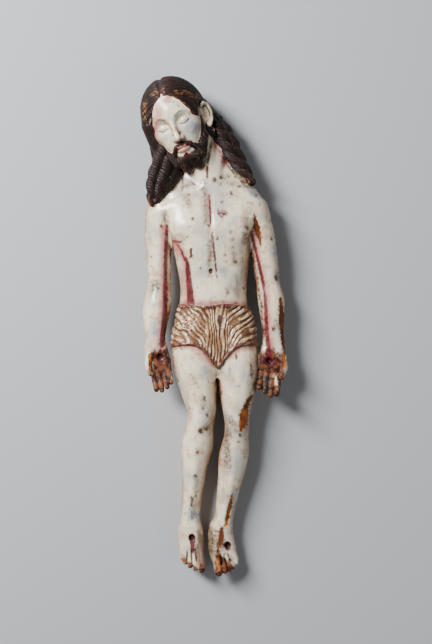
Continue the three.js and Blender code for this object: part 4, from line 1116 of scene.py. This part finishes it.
def group(name, inputs, outputs):
    """Begins a node group. Its inputs are named values, and a tuple is a colour."""
    global tree, gives
    tree = bpy.data.node_groups.new(name, "ShaderNodeTree")
    for socket, value in inputs.items():
        kind = "NodeSocketColor" if isinstance(value, tuple) else "NodeSocketFloat"
        tree.interface.new_socket(socket, in_out="INPUT", socket_type=kind).default_value = value
    for socket in outputs:
        kind = "NodeSocketColor" if socket == "Colour" else "NodeSocketFloat"
        tree.interface.new_socket(socket, in_out="OUTPUT", socket_type=kind)
    given = tree.nodes.new("NodeGroupInput").outputs
    gives = tree.nodes.new("NodeGroupOutput").inputs
    return tree, given


def give(name, value):
    tree.links.new(value, gives[name])


# %% Worn edge and fine strands
SPREAD = 4.0  # noise keeps within about a quarter of its middle, so this makes it reach -1 to 1


def shift(size, detail, rough):
    """How far noise moves an edge: about size either way."""
    inputs = {"Vector": here(), "Scale": given["Grain"], "Detail": detail, "Roughness": rough}
    return times(minus(node("TexNoise", inputs).outputs["Fac"], 0.5), times(size, SPREAD))


inputs = {"Distance": 0.0, "Ragged": 1.0, "Softness": 0.3, "Grain": 700.0}
worn_edge, given = group("worn edge", inputs, ["Mask"])
edge = plus(given["Distance"], shift(given["Ragged"], 3.0, 0.6))
ends = {"From Min": given["Softness"], "From Max": times(given["Softness"], -1.0)}
give("Mask", node("MapRange", {"Value": edge, **ends}).outputs[0])

inputs = {"Across": 0.0, "Spacing": 1.2, "Waver": 0.6, "Grain": 240.0}
fine_strands, given = group("fine strands", inputs, ["Groove"])
moved = shift(given["Waver"], 2.0, 0.5)
turns = maths("DIVIDE", plus(given["Across"], moved), given["Spacing"])
crest = maths("ABSOLUTE", maths("SINE", times(turns, math.pi)))
give("Groove", minus(1.0, crest))

# %% [markdown]
# Ivory skin. Lead white in oil, rubbed smooth, then yellowed and dusted by hands. Close to, it is warm
# cream with cooler grey clouds and dark specks where the ground shows. Every hollow is brown, partly
# settled dirt and partly painted shade, and sides that turn away from the top are amber, partly old
# varnish and partly painted shade. The specks are cells of a Voronoi pattern, and only a share of the
# cells has one.

# %% Ivory skin
BENT = 0.0012  # metres by which noise bends a speck out of round


def specks(per_metre, size, share):
    """Round spots of random size in a random share of cells."""
    where = here()
    bent = node("TexNoise", {"Vector": where, "Scale": per_metre * 3, "Detail": 2.0}).outputs["Color"]
    bent = node("VectorMath", {0: bent, 1: (BENT,) * 3}, operation="MULTIPLY").outputs[0]
    where = node("VectorMath", {0: where, 1: bent}, operation="ADD").outputs[0]
    cells = node("TexVoronoi", {"Vector": where, "Scale": per_metre}).outputs
    chance = node("SeparateColor", {"Color": cells["Color"]}).outputs
    radius = times(maths("POWER", chance["Green"], 2.0), size)
    radius = times(radius, maths("LESS_THAN", chance["Red"], share))
    inner = minus(cells["Distance"], radius)
    return between(inner, 0.035, -0.02)


ivory, given = group(
    "ivory skin",
    {
        "Cream": colour(247, 230, 200), "Cool": colour(198, 192, 180),
        "Amber": colour(164, 120, 80), "Dirt": colour(84, 54, 36), "Speck": colour(54, 34, 26),
        "Hollow": 0.0, "Fine hollow": 0.0, "Up": 1.0, "On face": 0.0,
    },
    ["Colour", "Roughness", "Height"],
)
cloud = between(noise(30, 4.0, 0.55), 0.45, 0.66, 0.0, 0.85)
base = over(cloud, given["Cream"], given["Cool"])
# Sides turned away from the top get amber: partly old varnish, partly painted shade.
amber_sides_varnish_and_shade = between(given["Up"], 0.9, 0.3, 0.0, 0.95)
patches = between(noise(55, 5.0, 0.62), 0.36, 0.6, 0.3, 1.0)
base = over(times(amber_sides_varnish_and_shade, patches), base, given["Amber"])
base = over(between(noise(75, 5.0, 0.65), 0.5, 0.7, 0.0, 0.6), base, given["Amber"])
drag = noise(300, 4.0, 0.65, (1.0, 0.2, 1.0))  # brush marks along the body
base = over(between(drag, 0.52, 0.74, 0.0, 0.4), base, given["Dirt"])
# Brown in the hollows: partly settled dirt, partly painted shade where shade falls.
hollow = between(given["Hollow"], -0.06, -0.6, 0.0, 0.95)
dirt_and_shade_in_hollows = larger(hollow, between(given["Fine hollow"], -0.08, -0.4, 0.0, 0.9))
blotted = between(noise(240, 4.0, 0.6), 0.3, 0.6, 0.35, 1.0)
base = over(times(dirt_and_shade_in_hollows, blotted), base, given["Dirt"])
large, small = specks(85, 0.22, 0.6), specks(260, 0.42, 0.5)
halo = between(noise(130, 4.0, 0.6), 0.62, 0.7, 0.0, 0.55)
base = over(halo, base, given["Dirt"])
spotted = larger(large, times(small, 0.8))
spotted = times(spotted, minus(1.0, given["On face"]))
base = over(times(spotted, 0.88), base, given["Speck"])
give("Colour", base)
shine = between(noise(120, 3.0), 0.35, 0.7, 0.2, 0.4)
give("Roughness", over_value(larger(dirt_and_shade_in_hollows, spotted), shine, 0.65))
brushed = times(noise(420, 3.0, 0.6, (1.0, 0.3, 1.0)), 0.22)
give("Height", plus(times(spotted, -0.5), brushed))

# %% [markdown]
# Hair paint. The hair is umber brown, with painted shade nearly black in the grooves. Worn crests show
# reddish ground and old gold, most of all at the temples and at the ends of the ringlets, and grey and
# gold on other crests is partly wear and partly a painted highlight.

# %% Hair paint
hair_paint, given = group(
    "hair paint",
    {
        "Umber": colour(40, 26, 21), "Black": colour(6, 4, 4), "Red": colour(92, 30, 30),
        "Grey": colour(150, 126, 108), "Gold": colour(206, 140, 78),
        "Ridge": 0.0, "Rim": 0.0, "Strand": 0.0, "Worn": 9.0,
    },
    ["Colour", "Roughness", "Height"],
)
groove = use(fine_strands, {"Across": given["Strand"], "Spacing": 1.3, "Waver": 0.5})["Groove"]
base = over(between(noise(90, 3.0), 0.52, 0.72, 0.0, 0.25), given["Umber"], given["Red"])
# Grey and gold on the crests: partly rubbed paint, partly a painted highlight.
rubbed_and_lit_crests = times(between(given["Ridge"], 0.46, 0.78), between(noise(200, 4.0, 0.6), 0.44, 0.6, 0.04, 0.9))
base = over(rubbed_and_lit_crests, base, given["Grey"])
worn = times(between(given["Worn"], 2.2, -1.0), between(given["Ridge"], -0.05, 0.25))
worn = times(worn, between(noise(420, 3.0), 0.42, 0.58))
golden = between(noise(230, 4.0, 0.6), 0.5, 0.62, 0.0, 0.75)
golden = larger(worn, times(golden, between(given["Ridge"], 0.42, 0.7)))
base = over(golden, base, given["Gold"])
base = over(between(given["Rim"], 1.5, 0.1, 0.0, 0.8), base, given["Red"])
# Near-black in the grooves of the locks and strands is painted shade.
dark = larger(between(given["Ridge"], 0.1, -0.45, 0.0, 0.95), between(groove, 0.45, 0.85, 0.0, 0.8))
base = over(dark, base, given["Black"])
give("Colour", base)
give("Roughness", between(noise(300, 2.0), 0.3, 0.7, 0.42, 0.62))
give("Height", plus(times(groove, -0.7), times(noise(700, 3.0), 0.2)))

# %% [markdown]
# Gilt cloth. Cream paint over gold leaf over red-brown bole. The colour follows the height of the folds:
# cream on the crests, gold on the slopes and dark bole in the grooves. This is partly the wear of the
# layers and partly a painted highlight on the crests and painted shade in the grooves.

# %% Gilt cloth
gilt, given = group(
    "gilt cloth",
    {
        "Cream": colour(222, 197, 160), "Gold": colour(140, 96, 60), "Bole": colour(76, 47, 34),
        "Hem": colour(84, 34, 24), "Ridge": 0.0, "From hem": 10.0, "From waist": 10.0,
    },
    ["Colour", "Roughness", "Metal", "Height"],
)
patchy = between(noise(170, 3.0, 0.6, (1.0, 0.6, 1.0)), 0.35, 0.65, -0.4, 0.3)
lacy = between(noise(560, 3.0, 0.6), 0.35, 0.65, -0.22, 0.22)
ridge = plus(given["Ridge"], plus(patchy, lacy))
# By fold height: cream crests as a painted highlight, gold slopes, dark bole grooves as painted shade.
golden = between(ridge, 0.8, 0.25)
dark = between(ridge, 0.15, -0.5)
glaze = between(noise(110, 4.0, 0.6, (1.0, 0.45, 1.0)), 0.42, 0.6, 0.0, 0.9)
shade = between(noise(150, 4.0, 0.6, (1.0, 0.5, 1.0)), 0.54, 0.66, 0.0, 0.6)
base = over(larger(golden, glaze), given["Cream"], given["Gold"])
base = over(larger(dark, shade), base, given["Bole"])
hem = between(plus(given["From hem"], times(lacy, 4.0)), 4.6, 3.4, 0.0, 0.9)
waist = between(plus(given["From waist"], times(patchy, 6.0)), 4.0, 1.2, 0.0, 0.85)
base = over(larger(hem, waist), base, given["Hem"])
base = over(times(hem, between(noise(300, 3.0, 0.6), 0.5, 0.62, 0.0, 0.75)), base, given["Gold"])
give("Colour", base)
give("Roughness", over_value(golden, 0.4, 0.5))
give("Metal", times(minus(golden, dark), 0.35))
give("Height", times(noise(800, 3.0), 0.3))

# %% [markdown]
# Bare wood shows where the paint is lost: orange-brown limewood with its grain along the body, and
# darker where hands have polished it.

# %% Bare wood
wood, given = group(
    "bare wood",
    {"Light": colour(204, 118, 54), "Dark": colour(96, 46, 22), "Across": 0.0},
    ["Colour", "Height"],
)
lines = noise(900, 4.0, 0.6, (1.0, 0.07, 1.0))
ring = use(fine_strands, {"Across": given["Across"], "Spacing": 1.6, "Waver": 0.5, "Grain": 60.0})["Groove"]
base = over(between(lines, 0.38, 0.62), given["Light"], given["Dark"])
base = over(between(ring, 0.6, 1.0, 0.0, 0.6), base, given["Dark"])
base = over(between(noise(130, 3.0), 0.4, 0.7, 0.0, 0.75), base, given["Dark"])
give("Colour", base)
give("Height", plus(times(lines, 0.5), times(ring, -0.4)))

# %% [markdown]
# Now the layers, in the painter's order and then in the order of its life. Blood, stains, dirt and some
# painted shade are colours with a mask of their own, and the masks read the distances that each point
# carries. Last comes the shader itself: oil paint with a coat of varnish.

# %% Painted wood
BUMP = 0.0004  # metres of relief in the paint
COAT = 0.4  # varnish where nothing is matt
paint = bpy.data.materials.new("painted wood")
paint.use_nodes = True
tree = paint.node_tree
shader = tree.nodes["Principled BSDF"]


def value_of(name):
    return node("Attribute", attribute_name=name).outputs["Fac"]


def mask_of(name, ragged, softness, grain, strength=1.0):
    inputs = {"Distance": value_of(name), "Ragged": ragged, "Softness": softness, "Grain": grain}
    return times(use(worn_edge, inputs)["Mask"], strength)


def read(made, names):
    """A node group with inputs that read the named values of the points."""
    return use(made, {socket: value_of(name) for socket, name in names.items()})


HANDLED = ("brown_stain", 2.0, 1.4, 300)
in_hair = between(value_of("in_hair"), -0.12, 0.12)
in_cloth = between(value_of("in_cloth"), -0.1, 0.1)
reads = {"Hollow": "broad_relief", "Fine hollow": "fine_relief", "Up": "turned_up", "On face": "on_face"}
skin_layer = read(ivory, reads)
reads = {"Ridge": "fine_relief", "Rim": "in_hair", "Strand": "strand", "Worn": "worn_hair"}
hair_layer = read(hair_paint, reads)
cloth_layer = read(gilt, {"Ridge": "fold_height", "From hem": "from_hem", "From waist": "from_waist"})
across_grain = node("SeparateXYZ", {0: here()}).outputs["X"]
wood_layer = use(wood, {"Across": times(across_grain, 1 / MM)})

# Hands and feet: brown stain, with painted shade dark in the grooves, and pale ridges that are partly
# rubbed paint and partly a painted highlight.
relief_shade_and_wear = plus(value_of("fine_relief"), between(noise(200, 4.0, 0.65), 0.35, 0.65, -0.3, 0.26))
stain_with_relief_shade = over(between(relief_shade_and_wear, -0.24, 0.14), colour(46, 20, 14), colour(118, 70, 42))
stain_with_relief_shade = over(between(relief_shade_and_wear, 0.4, 0.72), stain_with_relief_shade, colour(206, 170, 132))
blood_tone = over(between(noise(190, 3.0), 0.42, 0.62, 0.0, 0.55), colour(70, 6, 12), colour(128, 40, 54))
# Each layer: its value, how ragged and soft its edge is in mm, the grain, its strength and its tone.
LAYERS = [
    ("blue_stain", 2.6, 3.2, 150, 0.75, colour(112, 138, 168)),
    # Soft brown: partly dirt, partly painted shade.
    ("soft_dirt_and_shade", 2.2, 3.0, 200, 0.6, colour(118, 90, 64)),
    ("khaki", 2.0, 2.0, 240, 0.85, colour(126, 108, 80)),
    ("mauve", 1.4, 1.4, 300, 0.8, colour(112, 70, 62)),
    ("pink", 1.0, 2.4, 240, 0.75, colour(176, 72, 78)),
    (*HANDLED, 1.0, stain_with_relief_shade),
    ("teal_stain", 2.4, 3.0, 300, 0.8, colour(40, 54, 56)),
    ("left_cream", 1.2, 0.7, 500, 0.85, colour(226, 208, 180)),
    ("lips", 0.3, 0.8, 700, 0.75, colour(168, 84, 68)),
    ("blood", 0.6, 0.6, 420, 0.94, blood_tone),
    ("grime", 2.4, 2.2, 360, 0.9, colour(72, 50, 36)),
    ("spots", 0.8, 0.7, 600, 0.9, colour(70, 42, 30)),
    ("wood_edge", 1.6, 0.9, 420, 0.85, colour(66, 34, 20)),
    ("lash_line", 0.1, 0.25, 900, 0.9, colour(46, 30, 24)),
    ("brow_line", 0.3, 0.5, 900, 0.8, colour(86, 58, 42)),
]
MOTTLED = ("grime", "blue_stain", "soft_dirt_and_shade", "teal_stain")
mottle = between(noise(420, 4.0, 0.65), 0.4, 0.6, 0.45, 1.0)
look = skin_layer["Colour"]
for name, ragged, softness, grain_size, strength, tone in LAYERS:
    mask = mask_of(name, ragged, softness, grain_size, strength)
    if name in MOTTLED:
        mask = times(mask, mottle)
    look = over(mask, look, tone)
look = over(in_cloth, look, cloth_layer["Colour"])
look = over(in_hair, look, hair_layer["Colour"])
bare = mask_of("bare_wood", 0.8, 0.2, 420)
wood_tone = over(mask_of("dark_wood", 1.6, 1.2, 300, 0.75), wood_layer["Colour"], colour(92, 46, 25))
look = over(bare, look, wood_tone)
hole = mask_of("nail_hole", 1.3, 0.9, 300, 0.95)
look = over(hole, look, colour(50, 10, 14))

rough = over_value(in_cloth, skin_layer["Roughness"], cloth_layer["Roughness"])
rough = over_value(in_hair, rough, hair_layer["Roughness"])
rough = over_value(bare, rough, 0.7)
height = over_value(in_cloth, skin_layer["Height"], cloth_layer["Height"])
height = over_value(in_hair, height, hair_layer["Height"])
height = over_value(bare, height, wood_layer["Height"])
bump = node("Bump", {"Height": height, "Distance": BUMP, "Strength": 0.7}).outputs[0]

stained = larger(mask_of(*HANDLED), hole)
matt = larger(larger(larger(bare, hole), times(in_hair, 0.85)), times(stained, 0.8))
finish = {
    "Base Color": look, "Metallic": times(in_cloth, cloth_layer["Metal"]), "Normal": bump,
    "Roughness": over_value(stained, rough, 0.6), "Specular IOR Level": over_value(matt, 0.5, 0.2),
    "Coat Weight": times(minus(1.0, matt), COAT), "Coat Roughness": 0.13,
}
fill(shader, finish)
fine.materials.append(paint)
print("painted wood:", len(tree.nodes), "nodes")

# %% Floor and light
HALF, LOWER = 4, 0.0002  # half width of the floor, and how far it keeps below the figure
floor_mesh = bpy.data.meshes.new("floor")
corners = [(side * HALF, end * HALF, -LOWER) for side, end in ((-1, -1), (1, -1), (1, 1), (-1, 1))]
floor_mesh.from_pydata(corners, [], [(0, 1, 2, 3)])
floor = bpy.data.objects.new("floor", floor_mesh)
bpy.context.scene.collection.objects.link(floor)
floor_paint = bpy.data.materials.new("pale floor")
floor_paint.use_nodes = True
floor_look = floor_paint.node_tree.nodes["Principled BSDF"].inputs
floor_look["Base Color"].default_value = (0.42, 0.43, 0.45, 1)
floor_look["Roughness"].default_value = 0.7
floor_mesh.materials.append(floor_paint)
floor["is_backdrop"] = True

world = bpy.data.worlds.new("soft light")
world.use_nodes = True
sky = world.node_tree.nodes["Background"].inputs
sky["Color"].default_value = (0.9, 0.95, 1, 1)
sky["Strength"].default_value = 0.12
bpy.context.scene.world = world


def soft_box(name, place, size, power):
    data = bpy.data.lights.new(name, "AREA")
    data.shape = "RECTANGLE"
    data.size, data.size_y = size
    data.energy = power
    light = bpy.data.objects.new(name, data)
    light.location = place
    light.rotation_euler = (-light.location).to_track_quat("-Z", "Y").to_euler()
    bpy.context.scene.collection.objects.link(light)


soft_box("key", (-0.9, 0.7, 1.1), (0.4, 0.9), 60)
soft_box("fill", (1.1, -0.5, 1.3), (0.9, 0.9), 4.5)
print("lights set")

# %% Frame calls
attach(figure, "root")
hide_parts("carved_figure")
boxes = {"cad": [list(c) for c in CAD_BOX], "visual": [list(c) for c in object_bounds()]}
print("boxes:", boxes, "made in", round(time.time() - START, 1), "s")
